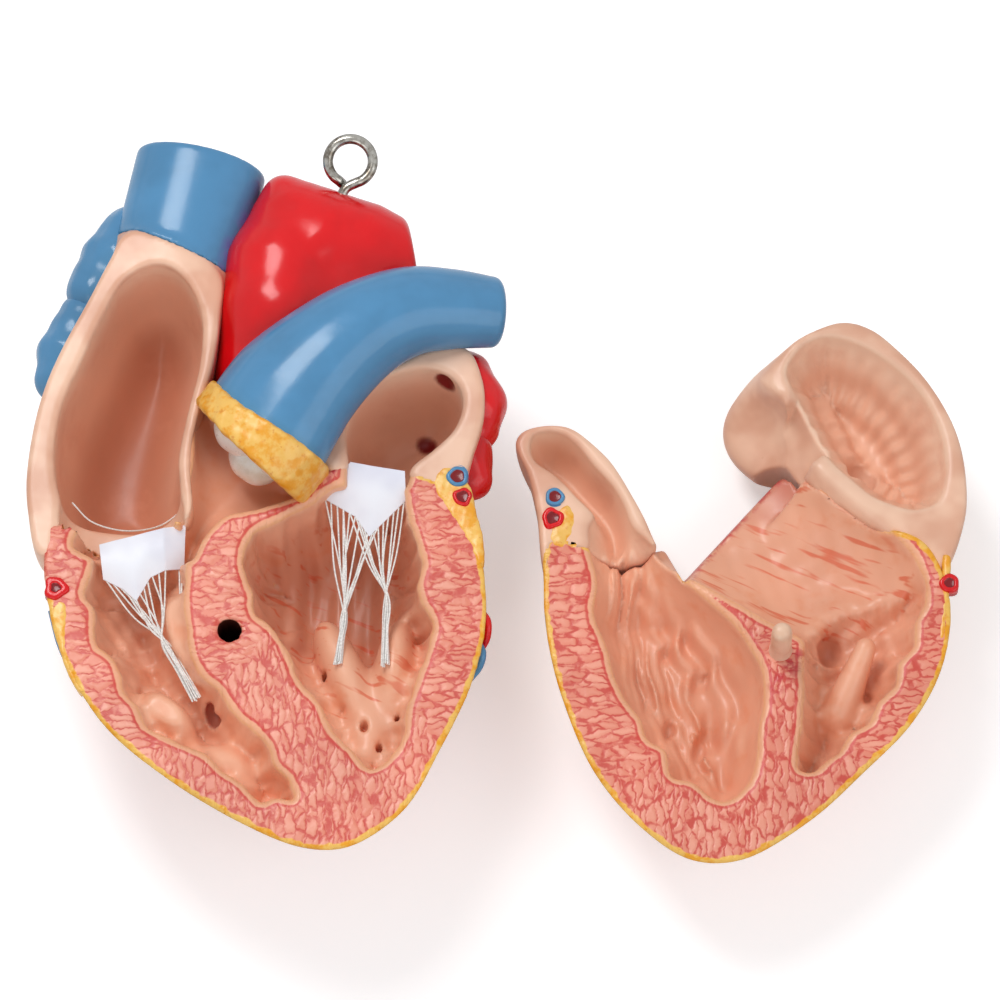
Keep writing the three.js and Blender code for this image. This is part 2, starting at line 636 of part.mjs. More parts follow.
const trimRear = aboveFace.add(rearFloor);
addMesh(rearHalf, 'right_coronary_artery', surfaceVessel(rearVentricles, rightCoronaryRoute, arteryRadius)
  .subtract(trimRear), finish('red'));
addMesh(rearHalf, 'coronary_sinus', surfaceVessel(rearVentricles, sinusRoute, veinRadius)
  .subtract(surfaceVessel(rearVentricles, rightCoronaryRoute, arteryRadius, pieceGap))
  .subtract(trimRear), finish('blue'));
addMesh(rearHalf, 'circumflex_artery', surfaceVessel(rearVentricles, circumflexRoute, arteryRadius)
  .subtract(surfaceVessel(rearVentricles, sinusRoute, veinRadius, pieceGap))
  .subtract(trimRear), finish('red'));
addMesh(rearHalf, 'left_groove_fat', fatPad(leftGrooveFat, 6)
  .subtract(surfaceVessel(rearVentricles, circumflexRoute, arteryRadius, pieceGap))
  .subtract(surfaceVessel(rearVentricles, sinusRoute, veinRadius, pieceGap)), finish('fat'));
addMesh(rearHalf, 'right_groove_fat', fatPad(rightGrooveFat, 5)
  .subtract(surfaceVessel(rearVentricles, rightCoronaryRoute, arteryRadius, pieceGap)), finish('fat'));

const wallForValves = ventricleShell(pieceGap).add(papillaryMuscles(pieceGap));
addMesh(rearHalf, 'mitral_leaflet', mitralLeaflet()
  .subtract(wallForValves).subtract(dome(leftAtrium, pieceGap)).subtract(greatVessels(pieceGap)), finish('leaflet'));
addMesh(rearHalf, 'tricuspid_leaflet', tricuspidLeaflet()
  .subtract(wallForValves).subtract(dome(rightAtrium, pieceGap)), finish('leaflet'));

const leftKnot = [14.6, -10.8, -7.6];
const rightKnot = [23.6, -10.8, -7.4];
const tricuspidKnot = [-12.9, -17.6, -6.2];
addMesh(rearHalf, 'mitral_chordae_left', chordae(mitralHinge, [[12, 20.4], [14, 18.8], [16, 16.8], [17.4, 15]], leftKnot)
  .subtract(wallForValves).subtract(mitralLeaflet(pieceGap)), finish('thread'));
addMesh(rearHalf, 'mitral_chordae_right', chordae(mitralHinge, [[19.6, 11.8], [21.6, 13.6], [23.6, 15.8], [26, 18.4]], rightKnot)
  .subtract(wallForValves).subtract(mitralLeaflet(pieceGap)), finish('thread'));
addMesh(rearHalf, 'tricuspid_chordae', chordae(tricuspidHinge, [[-24, 1.4], [-21.8, -0.6], [-19, 3.8], [-16.4, 5]], tricuspidKnot)
  .subtract(wallForValves).subtract(tricuspidLeaflet(pieceGap)), finish('thread'));

addMesh(rearHalf, 'screw_eye', screwEye(), new THREE.MeshStandardMaterial({
  color: 0xb9bcc0, roughness: 0.2, metalness: 1,
}));

const frontHalf = new THREE.Group();
frontHalf.name = 'front_half';
const frontFloor = block([-90, -90, -frontDepth - 20], [90, 120, -frontDepth + restFlat]);

const frontSurface = (grow) => union([
  surfaceVessel(frontVentricles, descendingRoute, arteryRadius, grow),
  surfaceVessel(frontVentricles, greatVeinRoute, veinRadius, grow),
  surfaceVessel(frontVentricles, frontRightCoronaryRoute, arteryRadius, grow),
  fatPad(frontLeftGrooveFat, 5, grow),
  fatPad(frontRightGrooveFat, 4, grow),
]);

function frontShell(grow = 0) {
  return dome(frontVentricles, grow).subtract(union([
    dome(opening(frontLeftVentricleOpening, frontLeftVentricleDepth), -grow),
    dome(opening(frontRightVentricleOpening, frontRightVentricleDepth), -grow),
    dome(opening(conusOpening, conusDepth), -grow),
  ]));
}

// The great vessels of the rear half stand above the cut plane, so the front half passes over them
const vesselRecess = [
  [-7.4, 62], [-7.2, 48], [-11, 42.5], [-12.6, 38], [-11.6, 33], [-9.6, 29], [-6, 25], [-1.5, 20.6], [13, 18], [17, 62],
];
const vesselRecessHeight = 14.8;

const pegSeat = new THREE.CylinderGeometry(pegRadius + pieceGap, pegRadius + pieceGap, pegRoot + 1, 20);
const seatBore = solidOf(pegSeat.rotateX(Math.PI / 2).translate(pegAt[0], pegAt[1], -pegRoot / 2 + 0.2));
addMesh(frontHalf, 'front_ventricles', aboveCut(frontShell()
  .subtract(union([frontSurface(grooveGap), frontFloor, seatBore]))
  .subtract(slab(vesselRecess, -vesselRecessHeight, 2, 20))), finish('myocardium'));

addMesh(frontHalf, 'right_auricle', aboveCut(dome(rightAuricle)
  .subtract(dome(opening(rightAuricleOpening, rightAuricleDepth)))
  .subtract(union([dome(frontVentricles, pieceGap), frontSurface(grooveGap)]))
  .subtract(slab(vesselRecess, -vesselRecessHeight, 2, 20))), finish('atrium'));
addMesh(frontHalf, 'left_auricle', aboveCut(dome(leftAuricle)
  .subtract(dome(opening(leftAuricleOpening, leftAuricleDepth)))
  .subtract(union([dome(frontVentricles, pieceGap), frontSurface(grooveGap)]))), finish('atrium'));

const pegSolid = pegShape(pegRadius, pegLength, pegRoot - 1).translate([pegAt[0], pegAt[1], 0]);
addMesh(frontHalf, 'locating_peg', aboveCut(pegSolid), finish('peg'));

const trimFront = aboveFace.add(frontFloor);
addMesh(frontHalf, 'anterior_descending_artery', aboveCut(
  surfaceVessel(frontVentricles, descendingRoute, arteryRadius).subtract(trimFront),
), finish('red'));
addMesh(frontHalf, 'great_cardiac_vein', aboveCut(surfaceVessel(frontVentricles, greatVeinRoute, veinRadius)
  .subtract(surfaceVessel(frontVentricles, descendingRoute, arteryRadius, pieceGap))
  .subtract(trimFront)), finish('blue'));
addMesh(frontHalf, 'front_right_coronary_artery', aboveCut(
  surfaceVessel(frontVentricles, frontRightCoronaryRoute, arteryRadius).subtract(trimFront),
), finish('red'));
addMesh(frontHalf, 'front_left_groove_fat', aboveCut(fatPad(frontLeftGrooveFat, 5)
  .subtract(surfaceVessel(frontVentricles, descendingRoute, arteryRadius, pieceGap))
  .subtract(surfaceVessel(frontVentricles, greatVeinRoute, veinRadius, pieceGap))), finish('fat'));
addMesh(frontHalf, 'front_right_groove_fat', aboveCut(fatPad(frontRightGrooveFat, 4)
  .subtract(surfaceVessel(frontVentricles, frontRightCoronaryRoute, arteryRadius, pieceGap))), finish('fat'));

// Lay the front half open: half a turn about the line beside the rear half
const rearTop = rearDepth - restFlat;
const frontTop = frontDepth - restFlat;
const turnLineZ = (rearTop + frontTop + faceGap) / 2;
frontHalf.rotation.y = Math.PI;
frontHalf.position.set(2 * turnLineX, 0, 2 * turnLineZ - rearTop);

const heart = new THREE.Group();
heart.name = 'heart_model';
heart.add(rearHalf, frontHalf);

export default heart;
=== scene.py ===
"""Looks of the two-part heart model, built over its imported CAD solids.

The rear half lies on its back and the front half lies turned over beside it, both cut face up.
Shapes are written in millimetres in the closed heart: the cut plane at zero, the vessels towards +y,
and what lies behind the cut face below zero. Each half has its own step from there to the table.
"""
import math

import bmesh
import bpy
import numpy as np
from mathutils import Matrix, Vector


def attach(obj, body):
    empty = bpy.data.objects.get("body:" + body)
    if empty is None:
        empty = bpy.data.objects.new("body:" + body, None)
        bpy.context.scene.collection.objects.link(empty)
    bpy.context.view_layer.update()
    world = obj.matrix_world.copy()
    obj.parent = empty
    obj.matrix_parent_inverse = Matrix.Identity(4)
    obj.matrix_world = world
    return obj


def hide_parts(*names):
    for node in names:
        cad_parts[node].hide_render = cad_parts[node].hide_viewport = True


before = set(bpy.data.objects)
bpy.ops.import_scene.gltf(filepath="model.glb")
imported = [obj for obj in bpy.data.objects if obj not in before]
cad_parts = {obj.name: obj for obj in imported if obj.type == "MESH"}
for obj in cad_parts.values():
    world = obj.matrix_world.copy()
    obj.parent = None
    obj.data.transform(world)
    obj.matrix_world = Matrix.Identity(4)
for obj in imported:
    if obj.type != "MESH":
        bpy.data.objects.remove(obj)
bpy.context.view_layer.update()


# The table, the light and the camera
# A white table top and an even, soft studio light. The camera looks down at 70 degrees, as in the
# photograph, through a long lens, so 1 mm on the rear cut face is 5.6 pixels.
scene = bpy.context.scene
scene.view_settings.view_transform = "Standard"
VIEW_WIDTH = 0.18
VIEW_DISTANCE = 1.5
VIEW_TILT = math.radians(70)
SENSOR_WIDTH = 36
view_centre = Vector((0.04356, 0.01915, 0.0395))
camera_lens = bpy.data.cameras.new("photo_camera")
camera_lens.sensor_width = SENSOR_WIDTH
camera_lens.lens = SENSOR_WIDTH * VIEW_DISTANCE / VIEW_WIDTH
camera = bpy.data.objects.new("photo_camera", camera_lens)
camera.location = view_centre + VIEW_DISTANCE * Vector((0, -math.cos(VIEW_TILT), math.sin(VIEW_TILT)))
camera.rotation_euler = (math.pi / 2 - VIEW_TILT, 0, 0)
scene.collection.objects.link(camera)
scene.camera = camera


def add_softbox(name, place, aim, size, power):
    light = bpy.data.lights.new(name, "AREA")
    light.shape = "RECTANGLE"
    light.size, light.size_y = size
    light.energy = power
    lamp = bpy.data.objects.new(name, light)
    lamp.location = place
    lamp.rotation_euler = (Vector(place) - Vector(aim)).to_track_quat("Z", "Y").to_euler()
    scene.collection.objects.link(lamp)


add_softbox("key_softbox", (-0.16, 0.30, 0.62), (0.03, 0.02, 0.02), (0.22, 0.34), 2.3)
add_softbox("fill_softbox", (0.55, -0.35, 0.60), (0.04, 0.0, 0.02), (0.6, 0.6), 1.7)
add_softbox("front_softbox", (-0.25, -0.65, 0.50), (0.04, 0.0, 0.02), (0.5, 0.5), 1.1)


def link(tree, source, target):
    tree.links.new(source, target)


def set_or_link(tree, value, target):
    if isinstance(value, bpy.types.NodeSocket):
        link(tree, value, target)
    else:
        target.default_value = value


def calculate(tree, operation, *values, clamp=False):
    node = tree.nodes.new("ShaderNodeMath")
    node.operation = operation
    node.use_clamp = clamp
    for value, target in zip(values, node.inputs):
        set_or_link(tree, value, target)
    return node.outputs[0]


def new_material(name):
    material = bpy.data.materials.new(name)
    material.use_nodes = True
    return material, material.node_tree, material.node_tree.nodes["Principled BSDF"]


world = bpy.data.worlds.new("studio")
world.use_nodes = True
scene.world = world
tree = world.node_tree
background = tree.nodes["Background"]
background.inputs["Color"].default_value = (0.88, 0.90, 0.93, 1)
background.inputs["Strength"].default_value = 0.42
white = tree.nodes.new("ShaderNodeBackground")
white.inputs["Color"].default_value = (1, 1, 1, 1)
rays = tree.nodes.new("ShaderNodeLightPath")
seen = calculate(tree, "MAXIMUM", rays.outputs["Is Camera Ray"], rays.outputs["Is Transmission Ray"])
seen = calculate(tree, "MAXIMUM", seen, rays.outputs["Is Glossy Ray"])
mixed = tree.nodes.new("ShaderNodeMixShader")
link(tree, seen, mixed.inputs[0])
link(tree, background.outputs[0], mixed.inputs[1])
link(tree, white.outputs[0], mixed.inputs[2])
link(tree, mixed.outputs[0], tree.nodes["World Output"].inputs[0])

TABLE_REACH = 2
TABLE_GLOW = 0.38
table_corners = [(x * TABLE_REACH, y * TABLE_REACH, 0) for x, y in ((-1, -1), (1, -1), (1, 1), (-1, 1))]
table_mesh = bpy.data.meshes.new("table_top")
table_mesh.from_pydata(table_corners, [], [(0, 1, 2, 3)])
table_top = bpy.data.objects.new("table_top", table_mesh)
scene.collection.objects.link(table_top)
table_paint, tree, shader = new_material("white_table")
shader.inputs["Base Color"].default_value = (0.9, 0.9, 0.9, 1)
shader.inputs["Roughness"].default_value = 0.9
shader.inputs["Specular IOR Level"].default_value = 0.1
glow = tree.nodes.new("ShaderNodeEmission")
rays = tree.nodes.new("ShaderNodeLightPath")
lift = calculate(tree, "MULTIPLY", rays.outputs["Is Camera Ray"], TABLE_GLOW)
link(tree, lift, glow.inputs["Strength"])
both = tree.nodes.new("ShaderNodeAddShader")
link(tree, shader.outputs[0], both.inputs[0])
link(tree, glow.outputs[0], both.inputs[1])
link(tree, both.outputs[0], tree.nodes["Material Output"].inputs[0])
table_mesh.materials.append(table_paint)


# Rear half: the muscle with both ventricles
# A hollow moulding of rigid plastic, satin painted by hand. Its cut face shows pink muscle with a net of
# red lines, a peach lining round each chamber, and a yellow line of fat along the outer edge.
REAR_TOP = 39.5
EDGE_POINTS = 180
EDGE_MARGIN = 12


def rounded_loop(corners):
    """An even closed curve through the corners, as an array of points."""
    p = np.array(corners, float)
    q = np.roll(p, -1, axis=0)
    before, after = np.roll(p, 1, axis=0), np.roll(p, -2, axis=0)
    d0, d1, d2 = (np.maximum(np.hypot(*(b - a).T) ** 0.5, 1e-3)[:, None]
                  for a, b in ((before, p), (p, q), (q, after)))
    leave = ((p - before) / d0 - (q - before) / (d0 + d1) + (q - p) / d1) * d1
    arrive = ((q - p) / d1 - (after - p) / (d1 + d2) + (after - q) / d2) * d1
    t = np.linspace(0, 1, 24, endpoint=False)[:, None, None]
    curve = (2 * t**3 - 3 * t**2 + 1) * p + (t**3 - 2 * t**2 + t) * leave
    curve = curve + (3 * t**2 - 2 * t**3) * q + (t**3 - t**2) * arrive
    dense = curve.transpose(1, 0, 2).reshape(-1, 2)
    closed = np.vstack([dense, dense[:1]])
    way = np.concatenate([[0], np.cumsum(np.hypot(*np.diff(closed, axis=0).T))])
    even = np.linspace(0, way[-1], EDGE_POINTS, endpoint=False)
    return np.column_stack([np.interp(even, way, closed[:, i]) for i in range(2)])


def edge_reading(loop, x, y):
    """Distance to a closed edge, negative inside it, and the way round the edge to the nearest point."""
    x, y = np.broadcast_arrays(x, y)
    best, way, inside = np.full(x.shape, 1e9), np.zeros(x.shape), np.zeros(x.shape, bool)
    start = 0.0
    for (ax, ay), (bx, by) in zip(loop, np.roll(loop, -1, axis=0)):
        ux, uy = bx - ax, by - ay
        length = math.hypot(ux, uy)
        share = np.clip(((x - ax) * ux + (y - ay) * uy) / length**2, 0, 1)
        gap = np.hypot(x - ax - share * ux, y - ay - share * uy)
        near = gap < best
        best[near] = gap[near]
        way[near] = start + share[near] * length
        if abs(uy) > 1e-9:
            inside ^= ((ay > y) != (by > y)) & (x < ax + (y - ay) * ux / uy)
        start += length
    return np.where(inside, -best, best), way


def edge_map(corners, step=0.4):
    """A quick reader of the distance to a rounded edge, and of the way round it, from a fine table."""
    loop = rounded_loop(corners)
    low, high = loop.min(axis=0) - EDGE_MARGIN, loop.max(axis=0) + EDGE_MARGIN
    across, up = (np.arange(a, b, step) for a, b in zip(low, high))
    gap, way = edge_reading(loop, across[:, None], up[None, :])

    def read(x, y):
        u = np.clip((x - low[0]) / step, 0, len(across) - 1.001)
        v = np.clip((y - low[1]) / step, 0, len(up) - 1.001)
        u, v = np.broadcast_arrays(u, v)
        i, j = u.astype(int), v.astype(int)
        fu, fv = u - i, v - j
        shares = ((1 - fu) * (1 - fv), fu * (1 - fv), (1 - fu) * fv, fu * fv)
        corners_at = ((i, j), (i + 1, j), (i, j + 1), (i + 1, j + 1))
        ways = [way[at] for at in corners_at]
        even = np.ptp(ways, axis=0) < 3
        smooth_way = sum(share * value for share, value in zip(shares, ways))
        nearest_way = way[i + (fu > 0.5), j + (fv > 0.5)]
        smooth_gap = sum(share * gap[at] for share, at in zip(shares, corners_at))
        return smooth_gap, np.where(even, smooth_way, nearest_way)

    return read


def oval_gap(out, down, wide, deep, fullness):
    """Distance to the surface of a rounded bowl, from its two relative places."""
    size = np.maximum((out**fullness + down**fullness) ** (1 / fullness), 1e-6)
    slope = np.hypot((out / size) ** (fullness - 1) / wide, (down / size) ** (fullness - 1) / deep)
    return (size - 1) / np.maximum(slope, 1e-4)


def bowl(loop, centre, depth, x, y, z, fullness=2.3, flare=0.0):
    """Distance to a solid bowl below its outline. A flare draws its side in just below the outline."""
    edge = loop - np.array(centre)
    reach = np.interp(np.arctan2(y - centre[1], x - centre[0]),
                      np.arctan2(edge[:, 1], edge[:, 0]), np.hypot(*edge.T), period=2 * math.pi)
    reach = reach - flare * (1 - np.exp(np.minimum(z, 0) / 6)) * np.clip((15 - y) / 8, 0, 1)
    out = np.hypot(x - centre[0], y - centre[1]) / reach
    return oval_gap(out, np.maximum(-z, 0) / depth, reach, depth, fullness)


def hollow(edge_distance, width, depth, z, fullness=2.6):
    """Distance to a chamber whose walls sink from its edge to a rounded floor."""
    out = np.maximum(1 + edge_distance / width, 0)
    return oval_gap(out, np.maximum(-z, 0) / depth, width, depth, fullness)


def ball(at, radii, x, y, z, turn=0.0, lean=0.0):
    """Distance to a rounded lump, turned in plan and leaning along its length."""
    dx, dy, dz = x - at[0], y - at[1], z - at[2]
    dx, dy = dx * math.cos(turn) + dy * math.sin(turn), dy * math.cos(turn) - dx * math.sin(turn)
    dy, dz = dy * math.cos(lean) + dz * math.sin(lean), dz * math.cos(lean) - dy * math.sin(lean)
    size = np.sqrt((dx / radii[0]) ** 2 + (dy / radii[1]) ** 2 + (dz / radii[2]) ** 2)
    return (size - 1) * min(radii)


def rod(start, end, radii, x, y, z):
    """Distance to a tapered round rod."""
    a, b = np.array(start, float), np.array(end, float)
    u = b - a
    share = np.clip(((x - a[0]) * u[0] + (y - a[1]) * u[1] + (z - a[2]) * u[2]) / (u @ u), 0, 1)
    dx, dy, dz = (place - a[i] - share * u[i] for i, place in enumerate((x, y, z)))
    return np.sqrt(dx**2 + dy**2 + dz**2) - (radii[0] + share * (radii[1] - radii[0]))


def soft_max(a, b, round_off):
    h = np.clip(0.5 - 0.5 * (b - a) / round_off, 0, 1)
    return b + (a - b) * h + round_off * h * (1 - h)


def soft_min(a, b, round_off):
    return -soft_max(-a, -b, round_off)


def unevenness(x, y, z, pitch):
    """Smooth lumps of about one pitch, from -1 to 1."""
    k = 2 * math.pi / pitch
    lumps = np.sin(k * (x + 0.7 * y) + 1.3) * np.sin(k * (0.8 * y - 0.6 * z) + 0.4)
    finer = 0.4 * np.sin(k * 1.7 * (0.9 * x - 0.4 * y + 0.3 * z) + 2.1) * np.sin(k * 1.3 * (z + 0.5 * x))
    return 0.6 * lumps + finer


def cast_skin(shape, low, high, step):
    """Points and four-sided faces on the surface where the shape's distance is nothing."""
    axes = [np.arange(a - step, b + 1.9 * step, step) for a, b in zip(low, high)]
    grid = np.meshgrid(*axes, indexing="ij", sparse=True)
    values = np.array(np.broadcast_to(shape(*grid), [len(a) for a in axes]))
    for axis in range(3):
        face = [slice(None)] * 3
        for end in (0, -1):
            face[axis] = end
            values[tuple(face)] = np.maximum(values[tuple(face)], 0.1 * step)
    cells_shape = np.array(values.shape) - 1
    around, places, quads = [], [], []
    for axis in range(3):
        first, second = [slice(None)] * 3, [slice(None)] * 3
        first[axis], second[axis] = slice(None, -1), slice(1, None)
        a, b = values[tuple(first)], values[tuple(second)]
        at = np.argwhere((a < 0) != (b < 0))
        start, end = a[tuple(at.T)], b[tuple(at.T)]
        place = at.astype(float)
        place[:, axis] += start / (start - end)
        ring = []
        for back_u, back_v in ((0, 0), (1, 0), (1, 1), (0, 1)):
            cell = at.copy()
            cell[:, (axis + 1) % 3] -= back_u
            cell[:, (axis + 2) % 3] -= back_v
            ring.append(np.ravel_multi_index(cell.T, cells_shape))
            around.append(ring[-1])
            places.append(place)
        ring = np.column_stack(ring)
        quads.append(np.where((start < 0)[:, None], ring, ring[:, ::-1]))
    names, index = np.unique(np.concatenate(around), return_inverse=True)
    places = np.concatenate(places)
    share = np.bincount(index)
    points = np.column_stack([np.bincount(index, places[:, i]) / share for i in range(3)])
    points = points * step + np.array([a[0] for a in axes])
    faces = np.searchsorted(names, np.concatenate(quads))
    return settle(shape, points, step), faces


def settle(shape, points, step, rounds=2):
    """Move points onto the true surface of the shape."""
    nudge = 0.15 * step
    for _ in range(rounds):
        here = shape(*points.T)
        slope = np.column_stack([(shape(*(points + nudge * unit).T) - here) / nudge for unit in np.eye(3)])
        size = np.maximum((slope**2).sum(axis=1), 0.05)
        move = -(here / size)[:, None] * slope
        length = np.maximum(np.linalg.norm(move, axis=1), 1e-9)
        points = points + move * np.minimum(1, 0.6 * step / length)[:, None]
    return points


def on_rear(points):
    return (points + np.array([0, 0, REAR_TOP])) / 1000


# How each half lays its points, and which way round the faces then run.
halves = {"rear_half": (on_rear, 1)}


def make_piece(name, points, faces, material, readings=None):
    """A smooth mesh object from points in metres, with its named readings kept at each point."""
    faces = np.asarray(faces)
    mesh = bpy.data.meshes.new(name)
    mesh.vertices.add(len(points))
    mesh.vertices.foreach_set("co", np.asarray(points, np.float32).ravel())
    mesh.loops.add(faces.size)
    mesh.loops.foreach_set("vertex_index", faces.ravel().astype(np.int32))
    mesh.polygons.add(len(faces))
    corners = faces.shape[1]
    mesh.polygons.foreach_set("loop_start", np.arange(0, faces.size, corners, dtype=np.int32))
    mesh.polygons.foreach_set("use_smooth", np.ones(len(faces), bool))
    mesh.update()
    mesh.validate()
    for key, values in (readings or {}).items():
        attribute = mesh.attributes.new(key, "FLOAT", "POINT")
        attribute.data.foreach_set("value", values.astype(np.float32))
    mesh.materials.append(material)
    piece = bpy.data.objects.new(name, mesh)
    scene.collection.objects.link(piece)
    return piece


def seat(piece, half, node=None):
    """Which half carries the piece, and which solid it takes the place of."""
    if node:
        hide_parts(node)
    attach(piece, half)


def cast_piece(half, name, node, shape, low, high, step, material, readings_of=lambda points: {}):
    """A moulded piece: the skin of its shape, laid on its half, with the readings that its paint needs."""
    place, order = halves[half]
    points, faces = cast_skin(shape, low, high, step)
    piece = make_piece(name, place(points), faces[:, ::order], material, readings_of(points))
    seat(piece, half, node)


def new_group(name, inputs, outputs):
    """A shader node group with its inputs, each written as name: (kind, value), and its outputs."""
    group = bpy.data.node_groups.new(name, "ShaderNodeTree")
    for label, (kind, value) in inputs.items():
        socket = group.interface.new_socket(label, in_out="INPUT", socket_type="NodeSocket" + kind)
        socket.default_value = value
    for label, kind in outputs.items():
        group.interface.new_socket(label, in_out="OUTPUT", socket_type="NodeSocket" + kind)
    return group, group.nodes.new("NodeGroupInput").outputs, group.nodes.new("NodeGroupOutput").inputs


def place_group(tree, group, values=None):
    node = tree.nodes.new("ShaderNodeGroup")
    node.node_tree = group
    for label, value in (values or {}).items():
        set_or_link(tree, value, node.inputs[label])
    return node.outputs


def fade(tree, value, low, high, from_value=0.0, to_value=1.0):
    """A smooth step of a value between two limits."""
    node = tree.nodes.new("ShaderNodeMapRange")
    node.interpolation_type = "SMOOTHSTEP"
    for amount, label in ((value, "Value"), (low, "From Min"), (high, "From Max"),
                          (from_value, "To Min"), (to_value, "To Max")):
        set_or_link(tree, amount, node.inputs[label])
    return node.outputs[0]


def mix_colour(tree, share, first, second):
    node = tree.nodes.new("ShaderNodeMix")
    node.data_type = "RGBA"
    set_or_link(tree, share, node.inputs["Factor"])
    for value, label in ((first, "A"), (second, "B")):
        target = next(s for s in node.inputs if s.name == label and s.type == "RGBA")
        set_or_link(tree, value, target)
    return next(s for s in node.outputs if s.type == "RGBA")


def noise(tree, vector, scale, detail=3.0, roughness=0.55):
    node = tree.nodes.new("ShaderNodeTexNoise")
    link(tree, vector, node.inputs["Vector"])
    node.inputs["Scale"].default_value = scale
    node.inputs["Detail"].default_value = detail
    node.inputs["Roughness"].default_value = roughness
    return node.outputs


def reading(tree, name):
    node = tree.nodes.new("ShaderNodeAttribute")
    node.attribute_name = name
    return node.outputs["Fac"]


def vector_maths(tree, operation, first, second):
    node = tree.nodes.new("ShaderNodeVectorMath")
    node.operation = operation
    link(tree, first, node.inputs[0])
    set_or_link(tree, second, node.inputs["Scale" if operation == "SCALE" else 1])
    return node


def object_place(tree):
    return tree.nodes.new("ShaderNodeTexCoord").outputs["Object"]


def hue(red, green, blue):
    """A colour written as it shows on a screen, from 0 to 255."""
    def linear(value):
        value /= 255
        return value / 12.92 if value <= 0.04045 else ((value + 0.055) / 1.055) ** 2.4
    return (linear(red), linear(green), linear(blue), 1)


def build_hand_paint():
    """Brushed satin paint: slow changes of tone, fine speckle, and the small unevenness of the mould."""
    group, given, out = new_group(
        "hand_paint",
        {"Colour": ("Color", (1, 1, 1, 1)), "Tone change": ("Float", 0.12), "Gloss": ("Float", 0.3)},
        {"Colour": "Color", "Roughness": "Float", "Height": "Float"},
    )
    place = object_place(group)
    slow = noise(group, place, 55, 2.0)
    fine = noise(group, place, 900, 2.0)
    speck = noise(group, place, 420, 4.0, 0.7)
    shade = calculate(group, "SUBTRACT", slow["Fac"], 0.5)
    shade = calculate(group, "MULTIPLY", shade, given["Tone change"])
    shade = calculate(group, "MULTIPLY_ADD", shade, 2.2, 1.0)
    link(group, vector_maths(group, "SCALE", given["Colour"], shade).outputs[0], out["Colour"])
    wear = calculate(group, "SUBTRACT", speck["Fac"], 0.5)
    link(group, calculate(group, "MULTIPLY_ADD", wear, 0.28, given["Gloss"], clamp=True), out["Roughness"])
    link(group, calculate(group, "MULTIPLY_ADD", fine["Fac"], 0.18, slow["Fac"]), out["Height"])
    return group


hand_paint = build_hand_paint()


def lay_paint(tree, shader, colour, tone_change, gloss):
    """Brush a colour on a material and return the paint's own height and roughness."""
    paint = place_group(tree, hand_paint, {"Colour": colour, "Tone change": tone_change, "Gloss": gloss})
    link(tree, paint["Colour"], shader.inputs["Base Color"])
    link(tree, paint["Roughness"], shader.inputs["Roughness"])
    return paint


def lay_varnish(shader, weight, roughness):
    shader.inputs["Coat Weight"].default_value = weight
    shader.inputs["Coat Roughness"].default_value = roughness


def build_muscle_net():
    """The painted net of muscle bundles: long cells across the wall, with soft red lines between them."""
    group, given, out = new_group(
        "muscle_net",
        {"Sideways": ("Float", 0.0), "Cell": ("Float", 1.0), "Line": ("Float", 0.16)},
        {"Line": "Float", "Halo": "Float", "Tone": "Float", "Height": "Float"},
    )
    place = object_place(group)
    shift = noise(group, place, 420, 2.0)
    bent = vector_maths(group, "MULTIPLY_ADD", shift["Color"], (0.0018, 0.0018, 0))
    link(group, place, bent.inputs[2])
    results = []
    for across in ((260, 760, 0), (760, 260, 0)):
        stretch = vector_maths(group, "MULTIPLY", bent.outputs[0], across)
        lines = group.nodes.new("ShaderNodeTexVoronoi")
        lines.feature = "DISTANCE_TO_EDGE"
        cells = group.nodes.new("ShaderNodeTexVoronoi")
        for node in (lines, cells):
            link(group, stretch.outputs[0], node.inputs["Vector"])
            link(group, given["Cell"], node.inputs["Scale"])
            node.inputs["Randomness"].default_value = 1.0
        tone = group.nodes.new("ShaderNodeSeparateColor")
        link(group, cells.outputs["Color"], tone.inputs[0])
        results.append((lines.outputs["Distance"], tone.outputs["Red"]))
    turn = calculate(group, "SUBTRACT", noise(group, place, 250, 2.0)["Fac"], 0.5)
    turn = fade(group, calculate(group, "MULTIPLY_ADD", turn, 1.2, given["Sideways"]), 0.4, 0.6)
    unturned = calculate(group, "SUBTRACT", 1.0, turn)
    gap, tone = (calculate(group, "ADD", calculate(group, "MULTIPLY", first, unturned),
                           calculate(group, "MULTIPLY", second, turn))
                 for first, second in zip(*results))
    strength = fade(group, noise(group, place, 520, 3.0, 0.6)["Fac"], 0.3, 0.6, 0.25, 1.0)
    thin = calculate(group, "MULTIPLY", given["Line"], strength)
    mask = fade(group, gap, calculate(group, "MULTIPLY", thin, 0.3), thin, 1.0, 0.0)
    link(group, calculate(group, "MULTIPLY", mask, strength), out["Line"])
    link(group, fade(group, gap, 0.0, 0.34, 1.0, 0.0), out["Halo"])
    link(group, tone, out["Tone"])
    link(group, fade(group, gap, 0.0, 0.3), out["Height"])
    return group


muscle_net = build_muscle_net()


